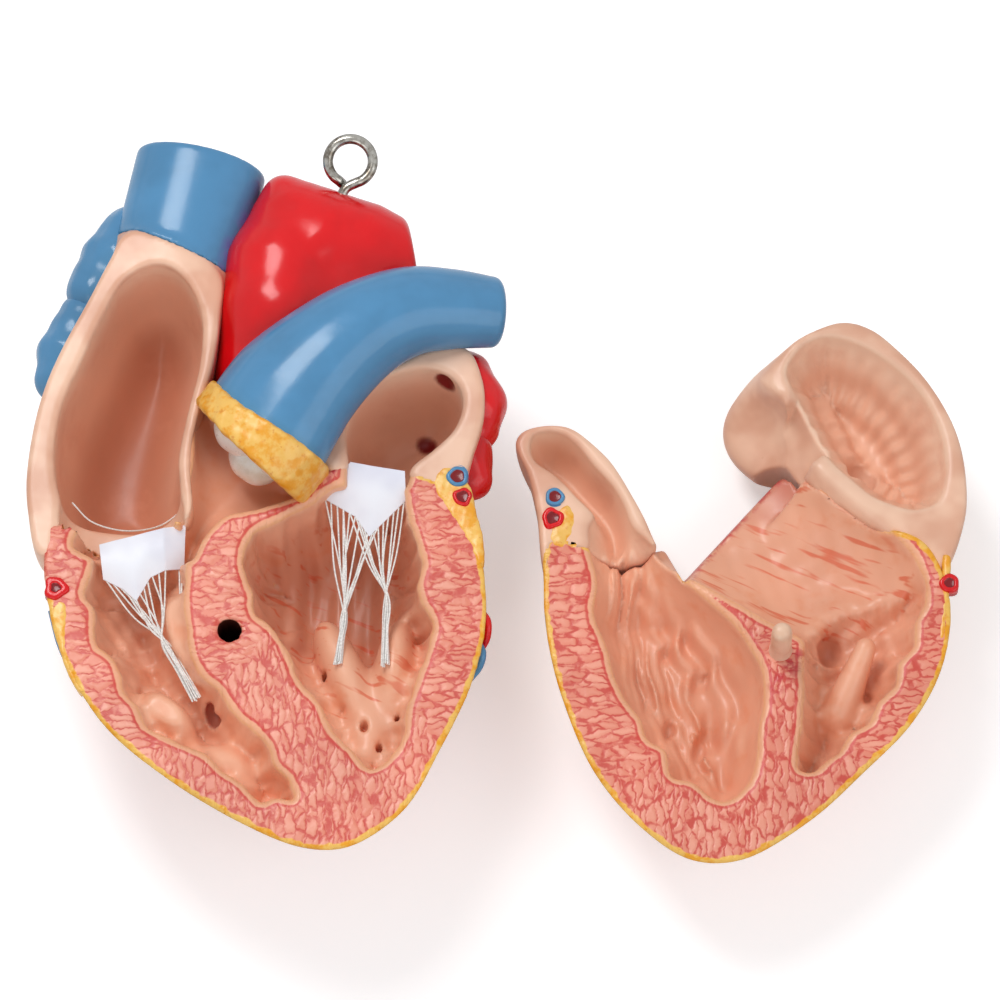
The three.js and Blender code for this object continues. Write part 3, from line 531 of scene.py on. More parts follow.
def build_fat_lobules():
    """Painted fat: small soft lobules, yellow to orange, with paler and darker spots."""
    group, given, out = new_group(
        "fat_lobules",
        {"Pale": ("Color", hue(242, 190, 92)), "Deep": ("Color", hue(236, 160, 26))},
        {"Colour": "Color", "Height": "Float"},
    )
    place = object_place(group)
    blotch = noise(group, place, 330, 3.0, 0.65)
    share = fade(group, blotch["Fac"], 0.44, 0.62)
    colour = mix_colour(group, share, given["Pale"], given["Deep"])
    spots = noise(group, place, 760, 2.0, 0.7)
    colour = mix_colour(group, fade(group, spots["Fac"], 0.62, 0.72, 0.0, 0.55), colour, hue(214, 128, 40))
    link(group, colour, out["Colour"])
    lobes = group.nodes.new("ShaderNodeTexVoronoi")
    lobes.feature = "SMOOTH_F1"
    link(group, place, lobes.inputs["Vector"])
    lobes.inputs["Scale"].default_value = 620
    link(group, calculate(group, "SUBTRACT", 1.0, lobes.outputs["Distance"]), out["Height"])
    return group


fat_lobules = build_fat_lobules()


def add_bump(tree, shader, height, strength, distance):
    bump = tree.nodes.new("ShaderNodeBump")
    bump.inputs["Strength"].default_value = strength
    bump.inputs["Distance"].default_value = distance
    link(tree, height, bump.inputs["Height"])
    link(tree, bump.outputs[0], shader.inputs["Normal"])


def build_muscle_paint(name):
    """One paint for a half's muscle, laid out by the readings on its mesh."""
    material, tree, shader = new_material(name)
    rim, edge = reading(tree, "rim_mm"), reading(tree, "edge_mm")
    face, lining, down = reading(tree, "cut_face"), reading(tree, "lining"), reading(tree, "down_mm")
    place = object_place(tree)
    wander = calculate(tree, "SUBTRACT", noise(tree, place, 420, 2.0)["Fac"], 0.5)
    net = place_group(tree, muscle_net, {"Sideways": reading(tree, "sideways")})
    flesh = mix_colour(tree, fade(tree, net["Tone"], 0.2, 0.8), hue(240, 161, 137), hue(230, 141, 117))
    flesh = mix_colour(tree, calculate(tree, "MULTIPLY", net["Halo"], 0.35), flesh, hue(226, 118, 96))
    flesh = mix_colour(tree, calculate(tree, "MULTIPLY", net["Line"], 0.9), flesh, hue(200, 62, 50))
    rim_now = calculate(tree, "MULTIPLY_ADD", wander, 0.7, rim)
    line = calculate(tree, "MULTIPLY", fade(tree, rim_now, 1.15, 1.4),
                     fade(tree, rim_now, 1.6, 1.95, 1.0, 0.0))
    flesh = mix_colour(tree, calculate(tree, "MULTIPLY", line, 0.8), flesh, hue(208, 70, 62))
    band = fade(tree, rim_now, 1.05, 1.4, 1.0, 0.0)
    flesh = mix_colour(tree, band, flesh, hue(240, 174, 138))
    fat = place_group(tree, fat_lobules)
    edge_now = calculate(tree, "MULTIPLY_ADD", wander, 1.6, edge)
    flesh = mix_colour(tree, fade(tree, edge_now, 1.05, 1.35, 1.0, 0.0), flesh, fat["Colour"])
    # Painted shade: the chamber lining is painted darker the deeper it lies below the cut face.
    inner = mix_colour(tree, fade(tree, down, 1.0, 16), hue(241, 182, 150), hue(230, 165, 135))
    inner = mix_colour(tree, fade(tree, noise(tree, place, 150, 3.0)["Fac"], 0.5, 0.7, 0.0, 0.5),
                       inner, hue(230, 146, 106))
    # More painted shade: the deepest part of each chamber turns browner still.
    inner = mix_colour(tree, fade(tree, down, 16, 23, 0.0, 0.4), inner, hue(190, 116, 88))
    streaks = tree.nodes.new("ShaderNodeMapping")
    link(tree, place, streaks.inputs["Vector"])
    streaks.vector_type = "TEXTURE"
    streaks.inputs["Rotation"].default_value = (0, 0, math.radians(-24))
    streaks.inputs["Scale"].default_value = (8.0, 1.0, 2.5)
    red = fade(tree, noise(tree, streaks.outputs[0], 620, 2.0)["Fac"], 0.56, 0.66, 0.0, 0.8)
    red = calculate(tree, "MULTIPLY", red, reading(tree, "streaked"))
    inner = mix_colour(tree, red, inner, hue(220, 106, 72))
    outside = mix_colour(tree, fade(tree, noise(tree, place, 60, 3.0)["Fac"], 0.4, 0.65),
                         hue(222, 150, 122), hue(206, 120, 100))
    outside = mix_colour(tree, reading(tree, "groove_fat"), outside, fat["Colour"])
    near_face = fade(tree, calculate(tree, "MULTIPLY_ADD", wander, 2.5, down), 2.2, 3.4, 1.0, 0.0)
    outside = mix_colour(tree, near_face, outside, fat["Colour"])
    colour = mix_colour(tree, face, outside, flesh)
    colour = mix_colour(tree, lining, colour, inner)
    stain = fade(tree, noise(tree, place, 700, 3.0)["Fac"], 0.4, 0.6)
    stain = calculate(tree, "MULTIPLY", reading(tree, "stain"), stain)
    colour = mix_colour(tree, calculate(tree, "MULTIPLY", stain, 0.8), colour, hue(196, 44, 56))
    # The inside of the peg's socket is painted a near-black brown: painted shade in the hole.
    colour = mix_colour(tree, reading(tree, "socket"), colour, hue(70, 30, 22))
    paint = lay_paint(tree, shader, colour, 0.16, 0.36)
    shader.inputs["Specular IOR Level"].default_value = 0.4
    lay_varnish(shader, 0.06, 0.25)
    relief = calculate(tree, "MULTIPLY", net["Height"], calculate(tree, "MULTIPLY", face, 0.55))
    add_bump(tree, shader, calculate(tree, "MULTIPLY_ADD", paint["Height"], 0.35, relief), 0.5, 0.0003)
    return material


rear_muscle_corners = [
    (-38, 1.1), (-35.3, -9.6), (-27.5, -23.4), (-15.8, -33.7), (-2.3, -42.1), (8.3, -46.5), (16.6, -46.5),
    (26.6, -39.6), (33.1, -28.2), (38.9, -15.3), (41.4, -3.1), (40.5, 8.6), (38.2, 19.1), (30.1, 24.1),
    (16.7, 26.6), (10.4, 24.2), (1.2, 33.5), (-5.5, 41.5), (-9.6, 41), (-12.2, 34), (-13, 26.8),
    (-13.4, 17.2), (-24.7, 13.4), (-32.4, 12.9), (-37, 15.4), (-38.5, 8.4),
]
rear_muscle_loop, rear_muscle_edge = rounded_loop(rear_muscle_corners), edge_map(rear_muscle_corners)
left_ventricle_edge = edge_map([
    (-0.7, 12.6), (-2.3, 8.8), (-1.6, 3.8), (-0.5, 1.3), (-0.3, -2), (3, -5), (6.1, -10.3), (8, -15.1),
    (11.7, -19.5), (13.5, -23.9), (17.2, -27.9), (20.2, -31.3), (22.2, -30.8), (25, -27.9), (26.4, -24.5),
    (26.8, -20.1), (28.2, -15.7), (30.1, -10.3), (31, -6.9), (31.4, -4.4), (29.5, -0.6), (28.6, 3.4),
    (29.5, 7.3), (28.6, 10.7), (27.3, 14.6), (26.6, 18), (25.6, 21.7), (20.2, 23), (13.9, 21.5), (9.8, 18.5),
    (4.3, 15.4),
])
right_ventricle_edge = edge_map([
    (-33, 10.5), (-29.4, 7.9), (-29.9, 4.6), (-30.8, 1.3), (-29.1, -1.3), (-28.9, -3.8), (-28.4, -8.2),
    (-25.6, -10.7), (-24.1, -13.7), (-23.6, -16.7), (-21.1, -19.7), (-19.4, -23.4), (-16.6, -25.1),
    (-14, -26.4), (-8.5, -28.9), (-5.8, -31.8), (-2.2, -34.3), (1.1, -37.7), (3.9, -36.7), (6.8, -37.2),
    (5.7, -33.7), (3.4, -31.3), (2, -27.4), (-1.2, -23.9), (-3.1, -22.5), (-4.9, -20.1), (-6.7, -17.2),
    (-9.9, -14.2), (-11.9, -10.5), (-12.6, -5.7), (-13.3, -0.6), (-13, 4.8), (-13.3, 9.2), (-13.7, 14.4),
    (-19.4, 14), (-25.2, 14), (-32, 13.5),
])
outflow_edge = edge_map([
    (-10.4, 40), (2, 32), (9.7, 22.6), (0.4, 18), (-5.8, 16.5), (-9.7, 12.4), (-12, 8), (-14.5, 9),
    (-13.6, 16), (-11.6, 26.4),
])
REAR_CENTRE = (2, -4)
REAR_DEPTH = 40
MUSCLE_FLARE = 3.4
SOCKET_AT = (-4.9, -5.6)
SOCKET_RADIUS = 2.15
SOCKET_DEPTH = 12.5
SIGHT_SLANT = 0.364  # how far up the photograph a place moves for each millimetre of depth
left_atrium_edge = edge_map([
    (24.8, 43.6), (31, 44.6), (35.5, 42.3), (36.9, 38.3), (35.4, 33.2), (31.5, 29), (27.6, 25.6), (26.5, 22),
    (21, 19.5), (16.4, 22), (16.2, 27), (15.8, 33), (18.5, 40),
])


def left_chamber(x, y, z):
    return hollow(left_atrium_edge(x, y)[0], 9.5, 22, z)


def rear_bowl(x, y, z):
    return bowl(rear_muscle_loop, REAR_CENTRE, REAR_DEPTH, x, y, z, flare=MUSCLE_FLARE)


def rear_chambers(x, y, z):
    """The hollows of the rear muscle, each as its own distance."""
    left, left_way = left_ventricle_edge(x, y)
    right, right_way = right_ventricle_edge(x, y)
    outflow, _ = outflow_edge(x, y)
    low = np.clip(-z / 6, 0, 1)
    upper = np.clip((y + 15) / 13, 0, 1)
    left_depth = 12.5 + 9.5 * upper * upper * (3 - 2 * upper)
    folds = 0.5 * np.sin(left_way * 0.8) + 0.25 * np.sin(left_way * 1.9 + z * 0.25)
    drapes = (0.7 * np.sin(0.75 * x + 0.08 * y) + 0.35 * np.sin(1.6 * x - 0.1 * y + 1)) * upper
    left = hollow(left + low * folds, 11, left_depth, z + low * drapes, 2.2)
    cords = 0.4 * np.sin(right_way * 0.9 + z * 0.3) + 0.2 * np.sin(right_way * 2.0)
    humps = 1.3 * unevenness(x, y, z * 0, 9) + 0.7 * unevenness(y, x, z * 0, 4.4)
    right = hollow(right + low * cords, 9, 14, z + humps * low, 2.0)
    outflow = hollow(outflow, 9, 11, z)
    return left, right, outflow, left_chamber(x, y, z)


# Papillary muscles and lesser mounds on the chamber floors: place, radii, turn and lean. Then the pits.
rear_mounds = [
    ((15.6, -11.5, -13.3), (4.3, 12.2, 9.4), 0.35, 0.12),
    ((24.4, -11.5, -13.3), (4.0, 11.6, 9.2), -0.1, 0.12),
    ((-16.2, -19.5, -10), (3.4, 6.4, 7.6), 0.85, 0.0), ((-14.3, -4.0, -8.6), (2.3, 6.5, 7), 0.25, 0.0),
    ((19.9, -25, -11), (3.4, 6, 5.4), 0.1, 0.0), ((-4.5, -28.5, -9.5), (3.0, 5, 4.6), 0.9, 0.0),
]
rear_pits = [
    ((19.2, -21.8, -6.0), 0.75), ((21.9, -25.8, -6.6), 0.6), ((15.2, -18.4, -6.6), 0.6),
    ((25.2, -20.4, -6.4), 0.5), ((12.2, -11.4, -9.5), 0.6), ((-7.6, -18.2, -9.6), 1.8),
    ((-20.6, -13.8, -9.0), 0.8),
]


def rear_muscle_shape(x, y, z):
    left, right, outflow, left_inflow = rear_chambers(x, y, z)
    body = soft_max(rear_bowl(x, y, z), z, 0.7)
    chambers = soft_min(soft_min(left, right, 1.0), outflow, 1.4)
    inside = -chambers
    for at, radii, turn, lean in rear_mounds:
        lump = np.maximum(ball(at, radii, x, y, z, turn, lean), z + 3.5)
        inside = soft_min(inside, lump, 3.0)
    for at, radius in rear_pits:
        inside = soft_max(inside, -ball(at, (radius, radius * 1.5, 2.4), x, y, z), 0.5)
    wall = soft_max(body, soft_max(inside, -left_inflow, 1.2), 2.0)
    below_socket = np.maximum(-SOCKET_DEPTH - z, 0)
    socket = np.hypot(x - SOCKET_AT[0], y - SOCKET_AT[1]) - SOCKET_RADIUS + below_socket
    return np.maximum(soft_max(wall, -socket, 0.3), -REAR_TOP - z)


def face_readings(points, body_edge, chamber_edges, chamber_shape, middle):
    """What the paint needs at each point: distances on the cut face and where the lining starts."""
    x, y, z = points.T
    edge, _ = body_edge(x, y)
    rim = np.min([chamber_edge(x, y)[0] for chamber_edge in chamber_edges], axis=0)
    from_middle = np.arctan2(np.abs(y - middle[1]), np.abs(x - middle[0]))
    chamber = chamber_shape(x, y, z)
    lining = np.clip((0.9 - chamber) / 0.8, 0, 1) * np.clip((rim < 1.2) + 0.0, 0, 1)
    lining = lining * np.clip((-z - 0.15) / 0.9, 0, 1)
    return {
        "rim_mm": np.maximum(rim, 0), "edge_mm": -edge, "down_mm": -z,
        "sideways": np.clip((from_middle - 0.7) / 0.3, 0, 1),
        "cut_face": np.clip((z + 1.3) / 0.9, 0, 1), "lining": lining,
    }


def rear_nearest_chamber(x, y, z):
    return np.min(rear_chambers(x, y, z), axis=0)


def rear_muscle_readings(points):
    readings = face_readings(points, rear_muscle_edge,
                             [left_ventricle_edge, right_ventricle_edge, outflow_edge, left_atrium_edge],
                             rear_nearest_chamber, (8, 0))
    x, y, z = points.T
    from_socket = np.hypot(x - SOCKET_AT[0], y - SOCKET_AT[1])
    stain = np.clip(1.2 - np.abs(from_socket - SOCKET_RADIUS) / 0.9, 0, 1) * (z > -1) * (y < SOCKET_AT[1])
    for start, end, width in stain_lines:
        gap = rod((*start, 0), (*end, 0), (width, width * 0.6), x, y + SIGHT_SLANT * z, z * 0)
        stain = np.maximum(stain, np.clip(-gap / 0.3, 0, 1) * (z > -14))
    readings["stain"] = stain
    # The inside of the peg's socket, which the paint fills with painted shade.
    readings["socket"] = ((from_socket < SOCKET_RADIUS + 0.25) & (z < -0.5)).astype(float)
    left_gap = left_ventricle_edge(x, y)[0]
    readings["streaked"] = np.clip(-left_gap / 3, 0, 1) * np.clip(-z / 6, 0, 1)
    readings["groove_fat"] = np.clip(1.3 - np.abs(y - 14) / 9, 0, 1) * (z < -2)
    readings["edge_mm"] = readings["edge_mm"] + 6.0 * (((x < 0) & (y > 2)) | ((x < 27) & (y > 12.5)))
    return readings


stain_lines = [((-12.2, 38.6), (-13.4, 27.2), 1.1), ((15.4, 28.2), (12.4, 22.6), 0.9),
               ((7.2, -8.6), (11.6, -13.8), 0.5)]
cast_piece("rear_half", "rear_muscle", "rear_ventricles", rear_muscle_shape,
           (-40, -48, -40), (43, 40, 1), 0.62, build_muscle_paint("muscle_paint"), rear_muscle_readings)


# Rear half: the right atrium and the superior vena cava
# One smooth hollow moulding: the atrium is peach with a rounded rim and a glossier inside, painted browner
# with depth as painted shade, and the cava above it is the same wall painted glossy blue along a slanting
# line.
def build_chamber_paint(name, rim_colour, inside_colour, deep_shade_colour):
    material, tree, shader = new_material(name)
    lining, down = reading(tree, "lining"), reading(tree, "down_mm")
    place = object_place(tree)
    patch = fade(tree, noise(tree, place, 70, 3.0)["Fac"], 0.4, 0.62)
    outer = mix_colour(tree, patch, rim_colour, hue(222, 168, 140))
    # Painted shade: the lining turns darker and browner the deeper it lies below the cut face.
    inner = mix_colour(tree, fade(tree, down, 0.5, 10), inside_colour, hue(236, 186, 158))
    inner = mix_colour(tree, fade(tree, down, 19, 30), inner, deep_shade_colour)
    inner = mix_colour(tree, fade(tree, noise(tree, place, 95, 4.0, 0.6)["Fac"], 0.5, 0.68, 0.0, 0.35),
                       inner, hue(220, 156, 128))
    colour = mix_colour(tree, lining, outer, inner)
    colour = mix_colour(tree, reading(tree, "vein_mouth"), colour, hue(126, 24, 26))
    paint = lay_paint(tree, shader, colour, 0.12, 0.33)
    link(tree, calculate(tree, "MULTIPLY_ADD", lining, 0.06, paint["Roughness"]), shader.inputs["Roughness"])
    shader.inputs["Specular IOR Level"].default_value = 0.35
    lay_varnish(shader, 0.05, 0.2)
    add_bump(tree, shader, paint["Height"], 0.35, 0.00022)
    return material


def build_gloss_paint(name, colour, tinge):
    """Thick glossy vessel paint: brush streaks, a little pooling, and a tinge where two colours meet."""
    material, tree, shader = new_material(name)
    place = object_place(tree)
    meet = fade(tree, noise(tree, place, 260, 3.0)["Fac"], 0.3, 0.7)
    meet = calculate(tree, "MULTIPLY", reading(tree, "seam"), meet)
    thick = fade(tree, noise(tree, place, 85, 3.0, 0.6)["Fac"], 0.38, 0.66, 0.0, 0.55)
    deeper = tuple(channel * 0.8 for channel in colour[:3]) + (1,)
    tone = mix_colour(tree, thick, colour, deeper)
    tone = mix_colour(tree, meet, tone, tinge)
    tone = mix_colour(tree, reading(tree, "bore"), tone, hue(124, 6, 16))
    paint = lay_paint(tree, shader, tone, 0.1, 0.2)
    shader.inputs["Specular IOR Level"].default_value = 0.3
    lay_varnish(shader, 0.12, 0.12)
    add_bump(tree, shader, paint["Height"], 0.4, 0.00025)
    return material


# The last colour is the painted shade at the bottom of each chamber.
peach_paint = build_chamber_paint("peach_paint", hue(240, 196, 168), hue(246, 210, 183), hue(200, 129, 100))
blue_paint = build_gloss_paint("blue_paint", hue(82, 142, 186), hue(116, 108, 180))
red_paint = build_gloss_paint("red_paint", hue(226, 8, 18), hue(156, 8, 26))

right_atrium_loop = rounded_loop([
    (-24.3, 71), (-13.5, 66.3), (-7.4, 62.8), (-7.2, 55.2), (-8.2, 46), (-10.2, 38.3), (-11, 27.8),
    (-11.6, 18), (-15, 10), (-26, 8.6), (-36, 8.5), (-39.4, 9), (-41.4, 17), (-41.8, 23.9), (-40.5, 34.5),
    (-38.5, 42.1), (-35.6, 49.2), (-31.3, 57.8), (-27.4, 65.9),
])
right_atrium_edge = edge_map([
    (-19.4, 64.5), (-15.7, 63.6), (-12.8, 60.5), (-10.6, 54.8), (-10.8, 45.6), (-12.8, 36.5), (-14.4, 27.5),
    (-14.4, 20), (-18.5, 16.6), (-27, 16), (-34.6, 18.4), (-36.8, 26.5), (-35.6, 37.3), (-32.2, 46),
    (-28.4, 55), (-24.5, 61.9),
])
right_valve_edge = edge_map([
    (-33.6, 22), (-16, 22), (-13.9, 20), (-13.6, 8), (-16, -1), (-26, -2), (-32.2, 2), (-34.8, 10),
    (-35.6, 18),
])
CAVA_START, CAVA_END = np.array([-16.9, 62.0]), np.array([-11.2, 88.2])
CAVA_LENGTH = np.linalg.norm(CAVA_END - CAVA_START)
CAVA_WIDTH, CAVA_HEIGHT = 12.0, 9.0
CAVA_DOWN = 8.6
ATRIUM_DEPTH = 40
BEHIND_MUSCLE = 1.5
PAINT_LINE = (np.array([-24.8, 72.6]), np.array([0.409, 0.912]))


def right_chamber(x, y, z):
    room = hollow(right_atrium_edge(x, y)[0], 11.5, 29, z)
    return soft_min(room, hollow(right_valve_edge(x, y)[0], 9, 9, z, 3.0), 1.2)


def cava_tube(x, y, z):
    way = (CAVA_END - CAVA_START) / CAVA_LENGTH
    along = (x - CAVA_START[0]) * way[0] + (y - CAVA_START[1]) * way[1]
    across = (x - CAVA_START[0]) * way[1] - (y - CAVA_START[1]) * way[0]
    round_gap = (np.sqrt((across / CAVA_WIDTH) ** 2 + ((z + CAVA_DOWN) / CAVA_HEIGHT) ** 2) - 1) * 10
    top = along - CAVA_LENGTH + 0.01 * across
    return soft_max(soft_max(round_gap, top, 1.3), -along - 4, 3)


def right_atrium_bowl(x, y, z):
    return bowl(right_atrium_loop, (-25, 38), ATRIUM_DEPTH, x, y, z)


def right_atrium_shape(x, y, z):
    body = soft_max(right_atrium_bowl(x, y, z), z, 1.2)
    body = soft_min(body, cava_tube(x, y, z), 3.5)
    return np.maximum(soft_max(body, -right_chamber(x, y, z), 1.3), -REAR_TOP - z)


def beyond_paint_line(x, y):
    return (x - PAINT_LINE[0][0]) * PAINT_LINE[1][0] + (y - PAINT_LINE[0][1]) * PAINT_LINE[1][1]


def right_atrium_wall(x, y, z):
    wall = soft_max(right_atrium_shape(x, y, z), -rear_bowl(x, y, z) - BEHIND_MUSCLE, 0.6)
    return np.maximum(wall, beyond_paint_line(x, y))


def cava_wall(x, y, z):
    return np.maximum(right_atrium_shape(x, y, z) - 0.05, -beyond_paint_line(x, y))


def chamber_readings(chamber_shape):
    """A reader of where a chamber's lining starts and how deep each point lies."""
    def read(points):
        x, y, z = points.T
        lining = np.clip((1.1 - chamber_shape(x, y, z)) / 0.9, 0, 1) * np.clip((-z - 0.3) / 1.2, 0, 1)
        return {"lining": lining, "down_mm": -z, "vein_mouth": np.zeros(len(x))}

    return read


def vessel_readings(points, seam_gap=None):
    seam = np.zeros(len(points)) if seam_gap is None else np.clip(1.2 - np.abs(seam_gap) / 1.8, 0, 1)
    return {"seam": seam, "bore": np.zeros(len(points))}


aorta_balls = [
    ((1.2, 36, -14), 8.6), ((1.4, 47, -9), 9.4), ((3.4, 57.5, -6.5), 10.8), ((4.2, 66.4, -6.5), 10.4),
    ((6.2, 74.4, -6.5), 8.2), ((11.2, 71.2, -6.5), 9.6), ((18.4, 69.6, -6.8), 8.8), ((24.0, 67.6, -7.4), 7.8),
    ((31.0, 64.6, -8.2), 7.4),
]


def chain(rods, blend, x, y, z):
    """Distance to tapered rods that run into one another."""
    body = None
    for start, end, radii in rods:
        stretch = rod(start, end, radii, x, y, z)
        body = stretch if body is None else soft_min(body, stretch, blend)
    return body


def aorta_shape(x, y, z):
    rods = [(start, end, (first, second))
            for (start, first), (end, second) in zip(aorta_balls, aorta_balls[1:])]
    shoulder = ball((3.7, 81.0, -6.5), (3.2, 3.2, 4.6), x, y, z)
    root = ball((14, 59, -7.5), (13, 11.5, 9.4), x, y, z)
    body = soft_min(chain(rods, 2.5, x, y, z), soft_min(shoulder, root, 3), 2.5)
    return soft_max(body, (x - 28.2) * 0.97 + (y - 66) * 0.16, 1.2)


cast_piece("rear_half", "right_atrium_wall", "right_atrium", right_atrium_wall,
           (-43, 6, -40), (-5, 74, 1), 0.6, peach_paint, chamber_readings(right_chamber))
cast_piece("rear_half", "vena_cava_wall", "superior_vena_cava", cava_wall,
           (-30, 58, -20), (5, 91, 2), 0.55, blue_paint,
           lambda points: vessel_readings(points, aorta_shape(*points.T)))


# Rear half: the aorta
# A solid glossy red moulding: the rising part and its arch, cut off square on the far side.
cast_piece("rear_half", "aorta_arch", "aorta", aorta_shape,
           (-12, 24, -26), (31, 86, 8), 0.55, red_paint,
           lambda points: vessel_readings(points, cava_tube(*points.T)))


# Rear half: the pulmonary trunk
# A tapering oval tube, painted glossy blue, that rises out of its fat ring and bends to the left lung.
trunk_line = [(0.2, 30.6, 0.3), (6.6, 39.9, 2.5), (16.8, 49.0, 4), (26.1, 54, 3.4), (34.2, 55.4, 1.6),
              (41.9, 55.6, -0.4)]
TRUNK_WIDTHS = (13.1, 12.5, 10.5, 8.9, 7.9, 6.8)
TRUNK_HEIGHTS = (10.5, 10, 9.4, 8.4, 7.4, 6.2)
TRUNK_ROLL = -0.35
TRUNK_STEPS = 70
TRUNK_SIDES = 72
END_ROUND = 1.6
START_ROUND = 0.5
END_RINGS = 7


def smooth_line(corners, count):
    """Points evenly along an open curve through the corners."""
    p = np.array(corners, float)
    p = np.vstack([2 * p[0] - p[1], p, 2 * p[-1] - p[-2]])
    places = []
    for a, b, c, d in zip(p, p[1:], p[2:], p[3:]):
        t = np.linspace(0, 1, 20, endpoint=False)[:, None]
        bend = (2 * a - 5 * b + 4 * c - d) * t**2 + (3 * b - a - 3 * c + d) * t**3
        places.append(0.5 * (2 * b + (c - a) * t + bend))
    dense = np.vstack([*places, p[-2:-1]])
    way = np.concatenate([[0], np.cumsum(np.linalg.norm(np.diff(dense, axis=0), axis=1))])
    even = np.linspace(0, way[-1], count)
    return np.column_stack([np.interp(even, way, dense[:, i]) for i in range(3)])


def band_faces(rows, sides):
    """Four-sided faces between rings of points that follow one another."""
    here = np.arange(sides)
    after = (here + 1) % sides
    return np.vstack([np.column_stack([here + k * sides, after + k * sides,
                                       after + (k + 1) * sides, here + (k + 1) * sides])
                      for k in range(rows - 1)])


def loft_trunk(line, widths, heights):
    """Points and faces of the oval tube, with closed and rounded ends."""
    ways = np.gradient(line, axis=0)
    ways /= np.linalg.norm(ways, axis=1)[:, None]
    side = np.cross(ways[0], [0, 0, 1])
    side /= np.linalg.norm(side)
    side = side * math.cos(TRUNK_ROLL) + np.cross(ways[0], side) * math.sin(TRUNK_ROLL)
    turn = np.linspace(0, 2 * math.pi, TRUNK_SIDES, endpoint=False)
    rings = []

    def add_ring(middle, way, scale):
        top = np.cross(side, way)
        rings.append(middle + scale * (np.cos(turn)[:, None] * side * width
                                       + np.sin(turn)[:, None] * top * height))

    for i, (middle, way, width, height) in enumerate(zip(line, ways, widths, heights)):
        side = side - way * (side @ way)
        side /= np.linalg.norm(side)
        for step in range(END_RINGS if i == 0 else 0):
            angle = math.pi / 2 * step / END_RINGS
            scale = 1 - (START_ROUND / width) * (1 - math.sin(angle)) if step else 0.02
            add_ring(middle - way * START_ROUND * math.cos(angle), way, scale)
        add_ring(middle, way, 1)
        for step in range(1, END_RINGS + 1 if i == len(line) - 1 else 0):
            angle = math.pi / 2 * step / END_RINGS
            scale = 1 - (END_ROUND / width) * (1 - math.cos(angle)) if step < END_RINGS else 0.02
            add_ring(middle + way * END_ROUND * math.sin(angle), way, scale)
    return np.vstack(rings), band_faces(len(rings), TRUNK_SIDES)


def close_ends(piece):
    """Close the small holes at both ends of a tube and turn every face outwards."""
    body = bmesh.new()
    body.from_mesh(piece.data)
    bmesh.ops.holes_fill(body, edges=[edge for edge in body.edges if edge.is_boundary], sides=0)
    bmesh.ops.recalc_face_normals(body, faces=body.faces)
    body.to_mesh(piece.data)
    body.free()


def along_trunk(values):
    return np.interp(np.linspace(0, len(values) - 1, TRUNK_STEPS), np.arange(len(values)), values)


trunk_points, trunk_faces = loft_trunk(
    smooth_line(trunk_line, TRUNK_STEPS), along_trunk(TRUNK_WIDTHS), along_trunk(TRUNK_HEIGHTS))
trunk = make_piece("trunk_of_lung_artery", on_rear(trunk_points), trunk_faces, blue_paint,
                   vessel_readings(trunk_points, aorta_shape(*trunk_points.T)))
close_ends(trunk)
seat(trunk, "rear_half", "pulmonary_trunk")


# Rear half: the fat ring round the trunk's mouth
# A lumpy band of moulded fat, dabbed with yellow and orange, where the trunk stands on the heart.
def build_fat_paint():
    material, tree, shader = new_material("fat_paint")
    fat = place_group(tree, fat_lobules)
    paint = lay_paint(tree, shader, fat["Colour"], 0.14, 0.36)
    lay_varnish(shader, 0.15, 0.25)
    add_bump(tree, shader, calculate(tree, "MULTIPLY_ADD", fat["Height"], 0.8, paint["Height"]), 0.5, 0.0004)
    return material


fat_paint = build_fat_paint()
RING_OUT = 0.6
# The trunk's mouth: its middle, the way out of it, and the two directions across it.
MOUTH = np.array(trunk_line[0])
MOUTH_OUT = (np.array([1.4, 31.5, 0.5]) - np.array([7.4, 39, 2.5])) / np.linalg.norm([6, 7.5, 2])
mouth_side = np.cross(-MOUTH_OUT, [0, 0, 1])
mouth_side /= np.linalg.norm(mouth_side)
mouth_top = np.cross(mouth_side, -MOUTH_OUT)
mouth_side, mouth_top = (
    mouth_side * math.cos(TRUNK_ROLL) + np.cross(-MOUTH_OUT, mouth_side) * math.sin(TRUNK_ROLL),
    mouth_top * math.cos(TRUNK_ROLL) + np.cross(-MOUTH_OUT, mouth_top) * math.sin(TRUNK_ROLL),
)


def mouth_places(x, y, z):
    """A place as its way out of the trunk's mouth, and across it both ways."""
    from_mouth = (x - MOUTH[0], y - MOUTH[1], z - MOUTH[2])
    return [sum(gap * part for gap, part in zip(from_mouth, unit))
            for unit in (MOUTH_OUT, mouth_side, mouth_top)]


def ring_outside(side, top):
    return (np.sqrt((side / 14.2) ** 2 + (top / 11.9) ** 2) - 1) * 12.5


def fat_ring_shape(x, y, z):
    out, side, top = mouth_places(x, y, z)
    inner = (1 - np.sqrt((side / 10.4) ** 2 + (top / 8.2) ** 2)) * 8.6
    length = 3.1 + 1.1 * np.clip(side / 12, -0.3, 1)
    slab = np.abs(out - RING_OUT - 0.12 * np.minimum(side, 0)) - length
    body = soft_max(soft_max(ring_outside(side, top), inner, 0.8), slab, 1.3)
    return body - 0.14 * unevenness(x, y, z, 3.4)


cast_piece("rear_half", "fat_ring", "pulmonary_fat_ring", fat_ring_shape,
           (-18, 15, -16), (20, 50, 16), 0.5, fat_paint)


# Rear half: the three cusps of the trunk's valve
# Off-white pockets of soft-edged plastic that hang out of the ring like small bags.
def build_cusp_paint():
    material, tree, shader = new_material("cusp_paint")
    place = object_place(tree)
    stain = fade(tree, noise(tree, place, 150, 4.0, 0.6)["Fac"], 0.45, 0.7)
    colour = mix_colour(tree, stain, hue(246, 243, 236), hue(230, 220, 202))
    paint = lay_paint(tree, shader, colour, 0.1, 0.3)
    lay_varnish(shader, 0.2, 0.15)
    add_bump(tree, shader, paint["Height"], 0.3, 0.0002)
    return material


